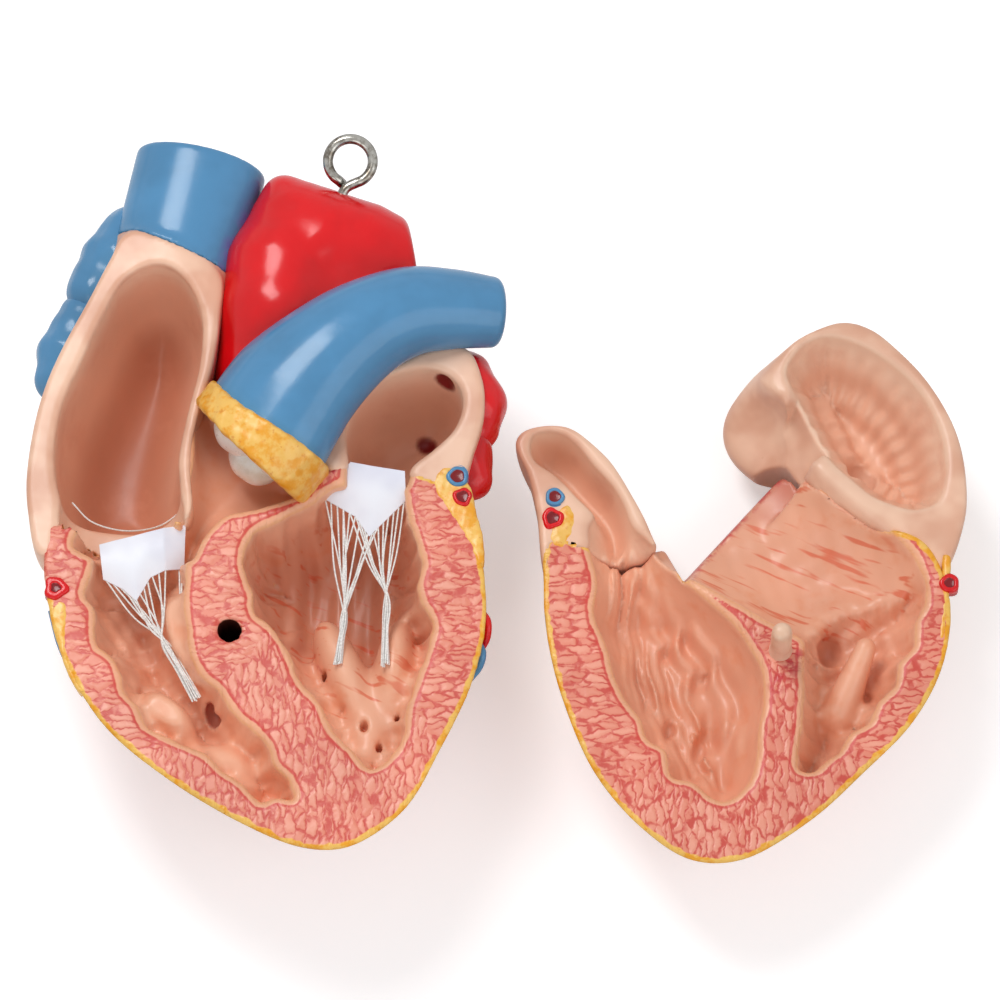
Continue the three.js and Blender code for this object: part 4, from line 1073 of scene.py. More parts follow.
cusp_paint = build_cusp_paint()
CUSP_TURN = -0.62
CUSP_REACH = 7
cusp_places = {
    "left_pulmonary_cusp": ((-3.6, 31.2, 1.8), (4.9, 3.6, 6.0)),
    "right_pulmonary_cusp": ((3.9, 26.0, 1.8), (4.4, 3.4, 6.0)),
    "rear_pulmonary_cusp": ((-1.0, 27.6, -3.5), (5.0, 3.6, 4.6)),
}


def cast_cusp(node, at, radii):
    def pocket(x, y, z):
        body = ball(at, radii, x, y, z, CUSP_TURN)
        mouth_at, mouth_radii = np.add(at, (1.6, 2.6, 1)), np.subtract(radii, (0.6, 0.5, 0))
        fold = 0.12 * np.cos(1.6 * ((x - at[0]) * 0.81 - (y - at[1]) * 0.58))
        return soft_max(body + fold * 0.5, -ball(mouth_at, mouth_radii, x, y, z, CUSP_TURN), 0.6)

    cast_piece("rear_half", node.replace("pulmonary", "valve"), node, pocket,
               np.array(at) - CUSP_REACH, np.array(at) + CUSP_REACH, 0.35, cusp_paint)


for node, (at, radii) in cusp_places.items():
    cast_cusp(node, at, radii)


# Rear half: the left atrium
# A smaller peach moulding with a smooth rim and, deep inside, the dark red mouths of two lung veins.
left_atrium_loop = rounded_loop([
    (23.9, 45), (30.6, 48.1), (37.4, 48.6), (40.3, 42.9), (40.7, 36), (39, 29.3), (36, 22), (28, 20),
    (18, 21), (12, 26), (11, 34), (15, 42),
])
lung_vein_mouths = [((33.2, 42.2, -4.6), (2.0, 2.6, 3.4)), ((29.8, 37.4, -18.8), (2.3, 2.0, 3.4))]


def left_atrium_bowl(x, y, z):
    return bowl(left_atrium_loop, (27, 34), ATRIUM_DEPTH, x, y, z)


def left_atrium_wall(x, y, z):
    body = soft_max(left_atrium_bowl(x, y, z), z, 1.1)
    body = soft_max(body, -rear_bowl(x, y, z) - BEHIND_MUSCLE, 0.6)
    body = soft_max(body, -left_chamber(x, y, z), 1.3)
    for at, radii in lung_vein_mouths:
        body = soft_max(body, -ball(at, radii, x, y, z), 0.5)
    return np.maximum(body, -REAR_TOP - z)


def left_atrium_readings(points):
    readings = chamber_readings(left_chamber)(points)
    mouths = np.min([ball(at, radii, *points.T) for at, radii in lung_vein_mouths], axis=0)
    readings["vein_mouth"] = np.clip((0.35 - mouths) / 0.3, 0, 1)
    return readings


cast_piece("rear_half", "left_atrium_wall", "left_atrium", left_atrium_wall,
           (9, 17, -40), (43, 51, 1), 0.55, peach_paint, left_atrium_readings)


# Rear half: the stumps of the lung vessels
# Rounded lobes of solid plastic beside the atria, glossy blue on the right lung's side and red on the left's.
lung_stumps = {
    "upper_right_pulmonary_artery": (blue_paint, "blue_vessel", 0.5, [
        ((-24.5, 75.2, -12), (-27, 70, -12), (5.4, 6.4)), ((-27, 70, -12), (-30.4, 64.2, -12), (6.2, 5.4))]),
    "lower_right_pulmonary_artery": (blue_paint, "blue_vessel", 0.5, [
        ((-32.8, 58.8, -13), (-35.6, 52, -13), (4.8, 5.6)),
        ((-35.6, 52, -13), (-36.8, 47.2, -13), (5.4, 4.6))]),
    "upper_left_pulmonary_vein": (red_paint, "red_vessel", 0.6, [
        ((37.0, 45.2, -7), (39.2, 40, -7), (5.2, 5.6)), ((39.2, 40, -7), (38.8, 35.6, -7), (5.2, 4.6))]),
    "lower_left_pulmonary_vein": (red_paint, "red_vessel", 0.6, [
        ((37.5, 31.2, -7), (38, 26.2, -8), (4.6, 4.2))]),
}
STUMP_REACH = 7
for node, (paint, slot, blend, rods) in lung_stumps.items():
    def stump(x, y, z, rods=rods, blend=blend):
        body = chain(rods, blend, x, y, z) - 0.25 * unevenness(x, y, z, 9)
        beside = np.minimum(right_atrium_bowl(x, y, z), left_atrium_bowl(x, y, z))
        return np.maximum(np.maximum(body, z + 0.6), -beside - 1.2)

    ends = np.array([place for start, end, _ in rods for place in (start, end)])
    cast_piece("rear_half", node.replace("pulmonary", "lung"), node, stump,
               ends.min(axis=0) - STUMP_REACH, ends.max(axis=0) + STUMP_REACH, 0.45, paint, vessel_readings)


# Rear half: the fat in the grooves
# Soft yellow fat moulded into the two grooves where the coronary vessels leave the cut face.
FAT_SWELL = 0.15


def cast_groove_fat(half, node, corners, depth):
    edge = edge_map(corners, 0.25)

    def shape(x, y, z):
        gap, _ = edge(x, y)
        body = soft_max(gap + 0.12 * np.maximum(-z, 0), z - FAT_SWELL * np.clip(-gap / 1.6, 0, 1), 0.9)
        return soft_max(body, -depth - z, 1.5) - 0.07 * unevenness(x, y, z, 2.6)

    low, high = np.min(corners, axis=0) - 2, np.max(corners, axis=0) + 2
    cast_piece(half, node.replace("groove", "groove_pad"), node, shape,
               (*low, -depth - 1), (*high, 2), 0.35, fat_paint)


cast_groove_fat("rear_half", "left_groove_fat", [
    (32.0, 24.6), (31.2, 21.9), (33.2, 18), (35.4, 14.6), (37.7, 10.7), (39.1, 7.4), (40.6, 6.4),
    (40.6, 12), (39.5, 16.6), (38.4, 21.5), (36.6, 24.6), (34.5, 26),
], 8)
cast_groove_fat("rear_half", "right_groove_fat", [
    (-35.3, 0.4), (-33.9, -0.9), (-33.8, -5.6), (-33.5, -10.8), (-31.9, -14.6), (-30.2, -18),
    (-31.6, -17.3), (-33.7, -13.9), (-35.2, -9.6), (-36.4, -5.8), (-37, -1.6),
], 6)


# Rear half: the coronary vessels
# Round moulded cords that run over the muscle. Where the cut face passes through one, its wall shows as
# a ring with a dark red bore.
def build_strand_tree():
    """Turn plain lines into round strands whose thickness swells and thins a little along the way."""
    tree = bpy.data.node_groups.new("round_strand", "GeometryNodeTree")
    face = tree.interface
    face.new_socket("Lines", in_out="INPUT", socket_type="NodeSocketGeometry")
    for label, kind, value in (("Radius", "Float", 0.001), ("Step", "Float", 0.0005),
                               ("Swell", "Float", 0.1), ("Swell pitch", "Float", 200.0),
                               ("Sides", "Int", 12), ("Taper", "Float", 0.0)):
        face.new_socket(label, in_out="INPUT", socket_type="NodeSocket" + kind).default_value = value
    face.new_socket("Finish", in_out="INPUT", socket_type="NodeSocketMaterial")
    face.new_socket("Strands", in_out="OUTPUT", socket_type="NodeSocketGeometry")
    nodes = tree.nodes
    given, result = nodes.new("NodeGroupInput").outputs, nodes.new("NodeGroupOutput").inputs
    curve = nodes.new("GeometryNodeMeshToCurve")
    even = nodes.new("GeometryNodeResampleCurve")
    even.mode = "LENGTH"
    profile = nodes.new("GeometryNodeCurvePrimitiveCircle")
    tube = nodes.new("GeometryNodeCurveToMesh")
    smooth = nodes.new("GeometryNodeSetShadeSmooth")
    whole = nodes.new("GeometryNodeRealizeInstances")
    painted = nodes.new("GeometryNodeSetMaterial")
    swell = nodes.new("ShaderNodeTexNoise")
    way = nodes.new("GeometryNodeSplineParameter")
    link(tree, given["Lines"], curve.inputs[0])
    link(tree, curve.outputs[0], even.inputs["Curve"])
    link(tree, given["Step"], even.inputs["Length"])
    link(tree, given["Swell pitch"], swell.inputs["Scale"])
    swell.inputs["Detail"].default_value = 1.0
    lumps = calculate(tree, "SUBTRACT", swell.outputs["Fac"], 0.5)
    lumps = calculate(tree, "MULTIPLY", lumps, given["Swell"])
    thinner = calculate(tree, "MULTIPLY", way.outputs["Factor"], given["Taper"])
    thickness = calculate(tree, "ADD", calculate(tree, "SUBTRACT", 1.0, thinner), lumps)
    radius = calculate(tree, "MULTIPLY", thickness, given["Radius"])
    link(tree, radius, tube.inputs["Scale"])
    link(tree, given["Sides"], profile.inputs["Resolution"])
    profile.inputs["Radius"].default_value = 1.0
    link(tree, profile.outputs[0], tube.inputs["Profile Curve"])
    tube.inputs["Fill Caps"].default_value = True
    for before, after in ((even, tube), (tube, smooth), (smooth, whole), (whole, painted)):
        link(tree, before.outputs[0], after.inputs[0])
    link(tree, given["Finish"], painted.inputs["Material"])
    link(tree, painted.outputs[0], result["Strands"])
    return tree


strand_tree = build_strand_tree()
CORD_POINTS = 90
CORD_SIZES = {"Step": 0.0006, "Swell": 0.22, "Swell pitch": 230.0, "Sides": 20}


def make_strands(name, lines, finish, **sizes):
    """Round strands along lines of points in metres, as one plain mesh."""
    guide = bpy.data.meshes.new(name + "_guide")
    points = [tuple(point) for line in lines for point in line]
    edges, start = [], 0
    for line in lines:
        edges += [(start + i, start + i + 1) for i in range(len(line) - 1)]
        start += len(line)
    guide.from_pydata(points, edges, [])
    host = bpy.data.objects.new(name + "_guide", guide)
    scene.collection.objects.link(host)
    modifier = host.modifiers.new("strands", "NODES")
    modifier.node_group = strand_tree
    values = {"Finish": finish, **sizes}
    for item in strand_tree.interface.items_tree:
        if item.in_out == "INPUT" and item.name in values:
            modifier[item.identifier] = values[item.name]
    bpy.context.view_layer.update()
    shaped = host.evaluated_get(bpy.context.evaluated_depsgraph_get())
    mesh = bpy.data.meshes.new_from_object(shaped)
    host.modifiers.remove(modifier)
    bpy.data.objects.remove(host)
    mesh.name = name
    piece = bpy.data.objects.new(name, mesh)
    scene.collection.objects.link(piece)
    return piece


def over_surface(loop, centre, depth, route, radius, from_face):
    """A line over the muscle's outside. It may start at the cut face, inside the wall, at the first point."""
    edge = loop - np.array(centre)
    plan = smooth_line([(x, y, 0) for x, y in route], 10 * len(route))
    reach = np.interp(np.arctan2(plan[:, 1] - centre[1], plan[:, 0] - centre[0]),
                      np.arctan2(edge[:, 1], edge[:, 0]), np.hypot(*edge.T), period=2 * math.pi)
    away = np.hypot(plan[:, 0] - centre[0], plan[:, 1] - centre[1])
    share = np.clip(away / (reach - 0.9 * MUSCLE_FLARE), 0, 0.995)
    down = np.clip(depth * (1 - share**2.3) ** (1 / 2.3), 4, depth - 0.6 - radius)
    line = np.column_stack([plan[:, 0], plan[:, 1], -down])
    if not from_face:
        return smooth_line(line[::4], CORD_POINTS)
    start = [(plan[0, 0], plan[0, 1], depth) for depth in (-0.2, -3.5)]
    return smooth_line(np.vstack([start, line[6::4]]), CORD_POINTS)


def make_vessel(half, name, node, line, radius, paint, taper):
    place, _ = halves[half]
    piece = make_strands(name, [place(line)], paint, Radius=radius / 1000, Taper=taper, **CORD_SIZES)
    seat(piece, half, node)


MOUTH_SIDES = 40


def mouth_points(at, outer, bore, wobble):
    """A cut vessel's points, faces and readings: a rounded ring with a sunk bore, a little uneven."""
    turn = np.linspace(0, 2 * math.pi, MOUTH_SIDES, endpoint=False)
    uneven = 1 + wobble * (np.sin(3 * turn + at[0]) + 0.6 * np.sin(5 * turn + at[1]))
    steps = [(outer, -2.2, 0), (outer, 0.15, 0), (outer - 0.12, 0.42, 0), (outer - 0.35, 0.54, 0),
             (bore + 0.25, 0.54, 0), (bore + 0.06, 0.48, 0), (bore, 0.38, 1), (bore - 0.15, 0.31, 1),
             (0.03, 0.35, 1)]
    rings = [np.column_stack([at[0] + radius * uneven * np.cos(turn), at[1] + radius * uneven * np.sin(turn),
                              np.full(MOUTH_SIDES, height)]) for radius, height, _ in steps]
    marks = np.repeat([mark for _, _, mark in steps], MOUTH_SIDES).astype(float)
    readings = {"bore": marks, "seam": np.zeros(len(marks))}
    return np.vstack(rings), band_faces(len(rings), MOUTH_SIDES), readings


def make_mouth(half, name, at, outer, bore, paint, wobble=0.04):
    place, _ = halves[half]
    points, faces, readings = mouth_points(at, outer, bore, wobble)
    piece = make_piece(name, place(points), faces, paint, readings)
    close_ends(piece)
    seat(piece, half)


rear_routes = {
    "right_coronary": ("right_coronary_artery", red_paint, "red_vessel", 1.7, 0.3, [
        (-36.1, 2.3), (-35, 4), (-30, 5), (-21, 4), (-11, 2), (-1, -2), (6, -8), (8, -16), (8, -30)]),
    "coronary_vein": ("coronary_sinus", blue_paint, "blue_vessel", 1.9, 0.1, [
        (36, 24), (34, 19), (27, 15.5), (17, 16), (7, 17.5), (-3, 18)]),
    "circumflex": ("circumflex_artery", red_paint, "red_vessel", 1.7, 0.35, [
        (36.9, 19.6), (38.2, 14), (36.5, 3), (33, -9)]),
    "middle_vein": (None, blue_paint, "blue_vessel", 1.1, 0.5, [
        (4, 16), (3.5, 8), (4.5, -4), (5, -16), (9, -30)]),
    "back_branch": (None, red_paint, "red_vessel", 0.8, 0.6, [
        (33, 0), (27, -6), (22, -16), (19, -26)]),
    "side_branch": (None, red_paint, "red_vessel", 0.8, 0.6, [
        (-31, 8), (-27, -1), (-20, -12), (-9, -22)]),
}
for name, (node, paint, slot, radius, taper, route) in rear_routes.items():
    line = over_surface(rear_muscle_loop, REAR_CENTRE, REAR_DEPTH, route, radius, node is not None)
    make_vessel("rear_half", name + "_cord", node, line, radius, paint, taper)

edge_bits = {
    "circumflex_bit": (red_paint, "red_vessel", 0.8, [
        (40.2, -1.6, -2.2), (41.3, -3.6, -1.5), (41.2, -6.2, -2.8), (39.6, -8.5, -5)]),
    "marginal_vein_bit": (blue_paint, "blue_vessel", 0.9, [
        (39.6, -7.6, -2.6), (40.3, -9.4, -2.0), (39.7, -11.6, -3.2), (37.6, -13.5, -6)]),
    "outer_vein_line": (blue_paint, "blue_vessel", 0.7, [
        (-36.9, -0.8, -3.4), (-35.4, -6.8, -3.6), (-32.8, -12.6, -3.8), (-28.6, -18.6, -4.4)]),
    "outer_artery_line": (red_paint, "red_vessel", 0.7, [
        (-26.4, -20.6, -3.6), (-22.6, -24.8, -3.6), (-17.6, -28.9, -3.6), (-11.4, -33.2, -4.2)]),
}
for name, (paint, slot, radius, route) in edge_bits.items():
    make_vessel("rear_half", name, None, smooth_line(route, 60), radius, paint, 0.3)

make_mouth("rear_half", "coronary_vein_mouth", (35.9, 23.6), 1.95, 1.2, blue_paint)
make_mouth("rear_half", "circumflex_mouth", (36.8, 19.7), 1.75, 1.05, red_paint, 0.07)
make_mouth("rear_half", "right_coronary_mouth", (-36.1, 2.3), 2.15, 0.85, red_paint, 0.1)


# Rear half: the valve leaflets
# Crisp white sheets cut from plastic card and glued into the openings between the chambers.
def build_sheet_paint():
    material, tree, shader = new_material("valve_sheet")
    place = object_place(tree)
    shade = fade(tree, noise(tree, place, 90, 2.0)["Fac"], 0.35, 0.7)
    colour = mix_colour(tree, shade, hue(238, 239, 246), hue(222, 222, 234))
    paint = lay_paint(tree, shader, colour, 0.04, 0.45)
    add_bump(tree, shader, paint["Height"], 0.15, 0.0001)
    return material


sheet_paint = build_sheet_paint()


SHEET_THICKNESS = 0.3
RIB_STEPS = 9


def make_leaflet(name, node, ribs, bow):
    """A thin closed card between ribs, each of which runs from the glued edge to the free edge."""
    ribs = np.array(ribs, float)
    spans = [np.linspace(k, k + 1, RIB_STEPS, endpoint=False) for k in range(len(ribs) - 1)]
    across = np.concatenate([*spans, [len(ribs) - 1]])
    upper, lower = (np.column_stack([np.interp(across, np.arange(len(ribs)), ribs[:, end, i])
                                     for i in range(3)]) for end in (0, 1))
    t = np.linspace(0, 1, 15)[:, None, None]
    high = upper[None] * (1 - t) + lower[None] * t
    high[..., 2] += bow * np.sin(math.pi * t[..., 0])
    low = high - np.array([0, 0, SHEET_THICKNESS])
    rows, columns = high.shape[:2]
    number = np.arange(rows * columns).reshape(rows, columns)
    front = np.column_stack([part.ravel() for part in (number[:-1, :-1], number[1:, :-1],
                                                       number[1:, 1:], number[:-1, 1:])])
    back = front[:, ::-1] + rows * columns
    rim = np.concatenate([number[0, :-1], number[:-1, -1], number[-1, :0:-1], number[:0:-1, 0]])
    following = np.roll(rim, -1)
    sides = np.column_stack([rim, following, following + rows * columns, rim + rows * columns])
    points = np.vstack([high.reshape(-1, 3), low.reshape(-1, 3)])
    piece = make_piece(name, on_rear(points), np.vstack([front, back, sides]), sheet_paint)
    close_ends(piece)
    piece.data.set_sharp_from_angle(angle=0.7)
    seat(piece, "rear_half", node)


mitral_ribs = [
    [(11.4, 21.9, -3.2), (11.6, 20.9, -3.6)], [(16.6, 26.9, -1.2), (17.5, 17.2, -3.4)],
    [(20.6, 26.0, -0.9), (20.0, 13.6, -3.8)], [(26.4, 25.0, -0.8), (26.6, 19.9, -2.2)],
]
tricuspid_ribs = [
    [(-28.6, 11.7, -3.0), (-27.8, 5.2, -3.4)], [(-26.0, 12.4, -2.9), (-24.2, 3.4, -3.5)],
    [(-22.6, 13.2, -2.7), (-21.8, 1.2, -3.6)], [(-20.0, 13.9, -2.5), (-19.3, 5.6, -3.4)],
    [(-17.0, 14.7, -2.5), (-16.7, 6.9, -3.2)], [(-13.1, 15.8, -4.0), (-13.3, 7.8, -5.0)],
]
make_leaflet("mitral_sheet", "mitral_leaflet", mitral_ribs, 0.5)
make_leaflet("tricuspid_sheet", "tricuspid_leaflet", tricuspid_ribs, 0.9)


# Rear half: the chordae
# White sewing threads, glued under the free edge of each leaflet. They cross a little, gather into one
# strand, and end frayed on the papillary muscle.
def build_thread_paint():
    material, tree, shader = new_material("thread")
    place = object_place(tree)
    fibre = noise(tree, place, 2600, 3.0, 0.7)
    colour = mix_colour(tree, fade(tree, fibre["Fac"], 0.35, 0.65), hue(246, 244, 240), hue(218, 213, 208))
    link(tree, colour, shader.inputs["Base Color"])
    link(tree, fade(tree, fibre["Fac"], 0.3, 0.7, 0.6, 0.85), shader.inputs["Roughness"])
    shader.inputs["Sheen Weight"].default_value = 0.25
    add_bump(tree, shader, fibre["Fac"], 0.4, 0.0001)
    return material


thread_paint = build_thread_paint()


def thread_lines(starts, gather, end, seed, spread=0.55):
    """Lines from places on a leaflet's edge to where the threads gather, and on side by side to a cut end."""
    rng = np.random.default_rng(seed)
    gather, end = np.array(gather, float), np.array(end, float)
    way = (end - gather) / np.linalg.norm(end - gather)
    across = np.cross(way, [0, 0, 1])
    across /= np.linalg.norm(across)
    lines = []
    for i, start in enumerate(starts):
        start = np.array(start, float)
        place = (i / (len(starts) - 1) - 0.5) * 2 * spread
        layer = np.array([0, 0, 0.26 * (i % 3)])
        half = start * 0.45 + gather * 0.55 + rng.normal(0, 0.4, 3) * (1, 1, 0.2) + np.array([0, 0, -0.15])
        near = gather + across * (place * 0.7 + rng.normal(0, 0.12)) + layer
        middle = (gather + end) / 2 + across * (place * 0.8 + rng.normal(0, 0.1)) + layer
        last = end + across * place * 1.25 + layer + way * rng.uniform(-0.5, 0.7)
        lines.append(smooth_line([start, half, near, middle, last], 40))
    return lines


def make_chordae(name, node, lines):
    piece = make_strands(name, [on_rear(line) for line in lines], thread_paint, **THREAD_SIZES)
    seat(piece, "rear_half", node)


def free_edge(ribs, last, count):
    """Places spread evenly along the leaflet's free edge, from 0.02 to the last share of it."""
    corners = np.array([rib[1] for rib in ribs], float)
    way = np.concatenate([[0], np.cumsum(np.linalg.norm(np.diff(corners, axis=0), axis=1))])
    shares = np.linspace(0.02, last, count) * way[-1]
    return np.column_stack([np.interp(shares, way, corners[:, i]) for i in range(3)]) + BELOW_EDGE


THREAD_SIZES = {
    "Radius": 0.00016, "Step": 0.0006, "Swell": 0.3, "Swell pitch": 900.0, "Taper": 0.0, "Sides": 6,
}
BELOW_EDGE = np.array([0, 0.3, -0.25])  # threads start under the card, just inside its free edge
mitral_edge = free_edge(mitral_ribs, 0.98, 16)
make_chordae("left_threads", "mitral_chordae_left", thread_lines(
    mitral_edge[[0, 1, 2, 3, 3, 4, 5, 6, 8, 9, 10]], (15.6, -1.4, -3.9), (14.5, -10.6, -3.6), 3))
make_chordae("right_threads", "mitral_chordae_right", thread_lines(
    mitral_edge[[4, 5, 6, 7, 9, 10, 11, 12, 13, 14, 15]], (23.2, 1.6, -4.3), (23.0, -10.9, -3.8), 5))
make_chordae("tricuspid_threads", "tricuspid_chordae", thread_lines(
    free_edge(tricuspid_ribs, 0.8, 12), (-16.6, -6.4, -5.0), (-10.8, -17.2, -4.4), 8, 0.7))
make_chordae("valve_side_threads", None, [
    smooth_line([(-13.6, 7.8, -5.2), (-13.7, 3.0, -4.6), (-13.5, -1.2, -3.6)], 20),
    smooth_line([(-14.2, 7.6, -5.2), (-14.0, 3.0, -4.6), (-13.7, -1.4, -3.6)], 20),
])
make_chordae("atrium_floor_line", None, [smooth_line([
    (-33.9, 21.6, -8.2), (-30.2, 18.0, -8.6), (-24.2, 16.4, -8.8), (-18.2, 17.2, -8.6), (-13.9, 20.0, -8.0),
], 60)])


# Rear half: the screw eye
# Bright plated steel wire, bent to a ring whose end tucks in behind the shank, screwed into the aorta.
def build_steel():
    material, tree, shader = new_material("bright_steel")
    place = object_place(tree)
    shader.inputs["Metallic"].default_value = 1.0
    smear = noise(tree, place, 500, 4.0, 0.6)
    colour = mix_colour(tree, fade(tree, smear["Fac"], 0.42, 0.66), hue(168, 166, 160), hue(104, 96, 86))
    link(tree, colour, shader.inputs["Base Color"])
    scratches = noise(tree, place, 1500, 3.0, 0.7)
    link(tree, fade(tree, scratches["Fac"], 0.3, 0.7, 0.1, 0.26), shader.inputs["Roughness"])
    add_bump(tree, shader, smear["Fac"], 0.25, 0.0001)
    return material


steel = build_steel()
EYE_CENTRE = np.array([16.2, 85.4, -1.0])
EYE_RADIUS = 4.1
EYE_ACROSS, EYE_UP, EYE_LIFT = np.array([1.0, 0, 0]), np.array([0, 0.94, 0.342]), np.array([0, -0.342, 0.94])
EYE_SIZES = {
    "Radius": 0.00095, "Step": 0.00025, "Swell": 0.0, "Swell pitch": 100.0, "Taper": 0.0, "Sides": 28,
}


def eye_point(angle, lift=0.0, radius=EYE_RADIUS):
    turn = math.radians(angle)
    return EYE_CENTRE + radius * (math.cos(turn) * EYE_ACROSS + math.sin(turn) * EYE_UP) + EYE_LIFT * lift


eye_line = [eye_point(-100, 0.9, 13), eye_point(-103, 0.9, 9.5), eye_point(-104, 0.9, 6.6),
            eye_point(-98, 0.8, 4.9)]
eye_line += [eye_point(angle, 0.8 * max(0, 1 - (angle + 80) / 90)) for angle in range(-74, 236, 12)]
eye_line += [eye_point(240, -0.3), eye_point(249, -0.9, 4.3)]
screw_eye = make_strands("wire_eye", [on_rear(smooth_line(eye_line, 160))], steel, **EYE_SIZES)
seat(screw_eye, "rear_half", "screw_eye")


# Front half: the muscle with both ventricles and the way out to the trunk
# The same painted moulding as the rear half. Its left chamber runs into the left auricle, and its smooth
# conus, painted with orange-red streaks, is open at the upper edge where the trunk lies when closed.
FRONT_TOP = 28.5
FRONT_TURN = 89.2


def on_front(points):
    return np.column_stack([FRONT_TURN - points[:, 0], points[:, 1], points[:, 2] + FRONT_TOP]) / 1000


halves["front_half"] = (on_front, -1)

front_muscle_corners = [
    (29.5, 14.6), (22.3, 14), (18, 15), (10, 24), (-1, 34.5), (-6.6, 34.5), (-9.6, 30.6), (-13, 26.6),
    (-17.5, 23.2), (-24, 18.6), (-30.8, 15.5), (-34.4, 10), (-36, 2.1), (-34.2, -9), (-28.8, -19.3),
    (-19.6, -29.1), (-9.9, -38.1), (2.5, -45.4), (11.5, -45.4), (20.2, -39.6), (28.8, -29.1), (34.6, -15.1),
    (37.3, -3.6), (38, 6.9), (36.9, 15.9),
]
front_muscle_loop, front_muscle_edge = rounded_loop(front_muscle_corners), edge_map(front_muscle_corners)
front_left_edge = edge_map([
    (29.1, 18.9), (29.3, 14.2), (27.9, 7.7), (28.5, 1.3), (26.3, -4.6), (24.9, -10.4), (23, -14.7),
    (20.2, -18.6), (19.1, -22.2), (15.8, -24.5), (14.8, -29.2), (10.9, -30.4), (8.1, -32.9), (5.4, -33.9),
    (1.5, -30.9), (-0.2, -26.2), (-0.7, -19.8), (-1.5, -16.3), (-1.3, -9.2), (0.4, -5.7), (3.2, -1.1),
    (8.6, 4.2), (13.1, 8.3), (16.4, 12.4), (20.5, 17), (25.7, 20),
])
front_right_edge = edge_map([
    (-9.4, -5.4), (-9.3, -13.2), (-8.9, -19), (-8.2, -27.9), (-10.8, -28.2), (-13.3, -26), (-15.2, -24.6),
    (-17.6, -20.9), (-20.6, -19.2), (-22.2, -15.4), (-25.2, -12.4), (-26.2, -8), (-28.9, -4.4), (-29.2, 0),
    (-31, 3.6), (-30, 8), (-24, 8), (-15.5, 6), (-10.6, 1),
])
conus_edge = edge_map([
    (6, 46), (-7, 40), (-10.6, 32), (-12.8, 26.4), (-17.3, 23), (-23.5, 18.4), (-28.6, 13.4), (-30.6, 7),
    (-25, 1.5), (-15.5, -0.5), (-9.8, -3), (-4.7, -0.8), (-2.2, 0.5), (2, 3.2), (6.8, 6), (11.4, 8.6),
    (18, 13), (14, 26),
])
left_auricle_edge = edge_map([
    (40.1, 33.5), (39.3, 35.9), (35.6, 36.5), (32.3, 34.7), (28.5, 30), (24.7, 25.3), (22.4, 20),
    (22.2, 15.5), (24.6, 13), (27, 15), (27.9, 19.5), (31.8, 24.1), (35.6, 28.2), (39.3, 31),
])
FRONT_CENTRE = (0, -9)
FRONT_DEPTH = 29
PEG_AT = (-4.9, -5.6)
front_pits = [
    ((14.9, -16.2, -12.5), 1.1), ((9.3, -19.5, -13.2), 1.5), ((22.4, 2.6, -8.5), 1.0),
    ((8.4, -6.5, -12.5), 0.9),
]


def front_rooms(x, y, z):
    """The hollows of the front half: left chamber with its auricle, right chamber, and conus."""
    left, _ = front_left_edge(x, y)
    right, right_way = front_right_edge(x, y)
    conus, _ = conus_edge(x, y)
    auricle, _ = left_auricle_edge(x, y)
    wander = 1.2 * unevenness(x, y, z * 0, 16)
    fan = np.arctan2(x - 21, 34 - y) * 38 + wander
    ridges = np.sin(2 * math.pi * fan / 4.6) + 0.45 * np.sin(2 * math.pi * (fan + 0.5 * left) / 2.3 + 1)
    ridges = ridges + 0.5 * np.sin(2 * math.pi * (left + wander) / 4.0)
    fade_in = np.clip((-left - 1.6) / 2.5, 0, 1) * (0.7 + 0.3 * np.sin(0.3 * y + 0.2 * x))
    left_depth = 14 - 5 * np.clip((y - 3) / 8, 0, 1)
    room_left = hollow(left, 10, left_depth, z - 1.1 * ridges * fade_in, 2.2)
    for at, radius in front_pits:
        room_left = soft_min(room_left, ball(at, (radius, radius * 2.0, 3.2), x, y, z, 0.25), 1.2)
    cords = np.sin(right_way * 1.0 + 0.25 * z) + 0.6 * np.sin(right_way * 2.2)
    lumps = unevenness(x, y, z * 0, 6) * np.clip((-right - 1) / 2, 0, 1)
    room_right = hollow(right + 0.35 * cords * np.clip(-z / 5, 0, 1), 8, 13, z - 0.8 * lumps, 2.1)
    room_right = soft_min(room_right, ball((-14.2, -1.7, -12.5), (2.4, 2.8, 3.4), x, y, z), 1.6)
    papillary = rod((-20.6, -2.8, -7.2), (-15.6, -14.5, -11), (1.9, 3.4), x, y, z)
    room_right = soft_max(room_right, -papillary, 2.2)
    room_conus = hollow(conus, 13, 12, z - 0.3 * unevenness(x, y, z * 0, 8), 1.7)
    room_auricle = hollow(auricle, 5.0, 12, z, 2.2)
    return soft_min(room_left, room_auricle, 1.6), soft_min(room_right, room_conus, 2.2)


def front_nearest_room(x, y, z):
    return np.min(front_rooms(x, y, z), axis=0)


def front_bowl(x, y, z):
    return bowl(front_muscle_loop, FRONT_CENTRE, FRONT_DEPTH, x, y, z, flare=MUSCLE_FLARE)


def vessel_recess(x, y, z):
    """The room that the great vessels of the rear half take up when the heart is closed."""
    out, side, top = mouth_places(x, y, -z)
    ring = np.maximum(ring_outside(side, top), np.abs(out - RING_OUT) - 4.4)
    tube = rod((4, 34, 3), (22, 51.5, 4.5), (12.2, 9.8), x, y, -z)
    return np.minimum(np.minimum(ring, tube), aorta_shape(x, y, -z)) - 0.9


def conus_side(x, y, z):
    """The straight edge of the conus, which the trunk's fat ring lies against when the heart is closed."""
    return 0.731 * x + 0.643 * y + 0.234 * z - 13.4


def auricle_side(x, y, z):
    """The straight edge where the left auricle ends and the notch for the trunk begins."""
    return 0.882 * (12.9 - x) + 0.471 * (y + SIGHT_SLANT * z - 8.2)


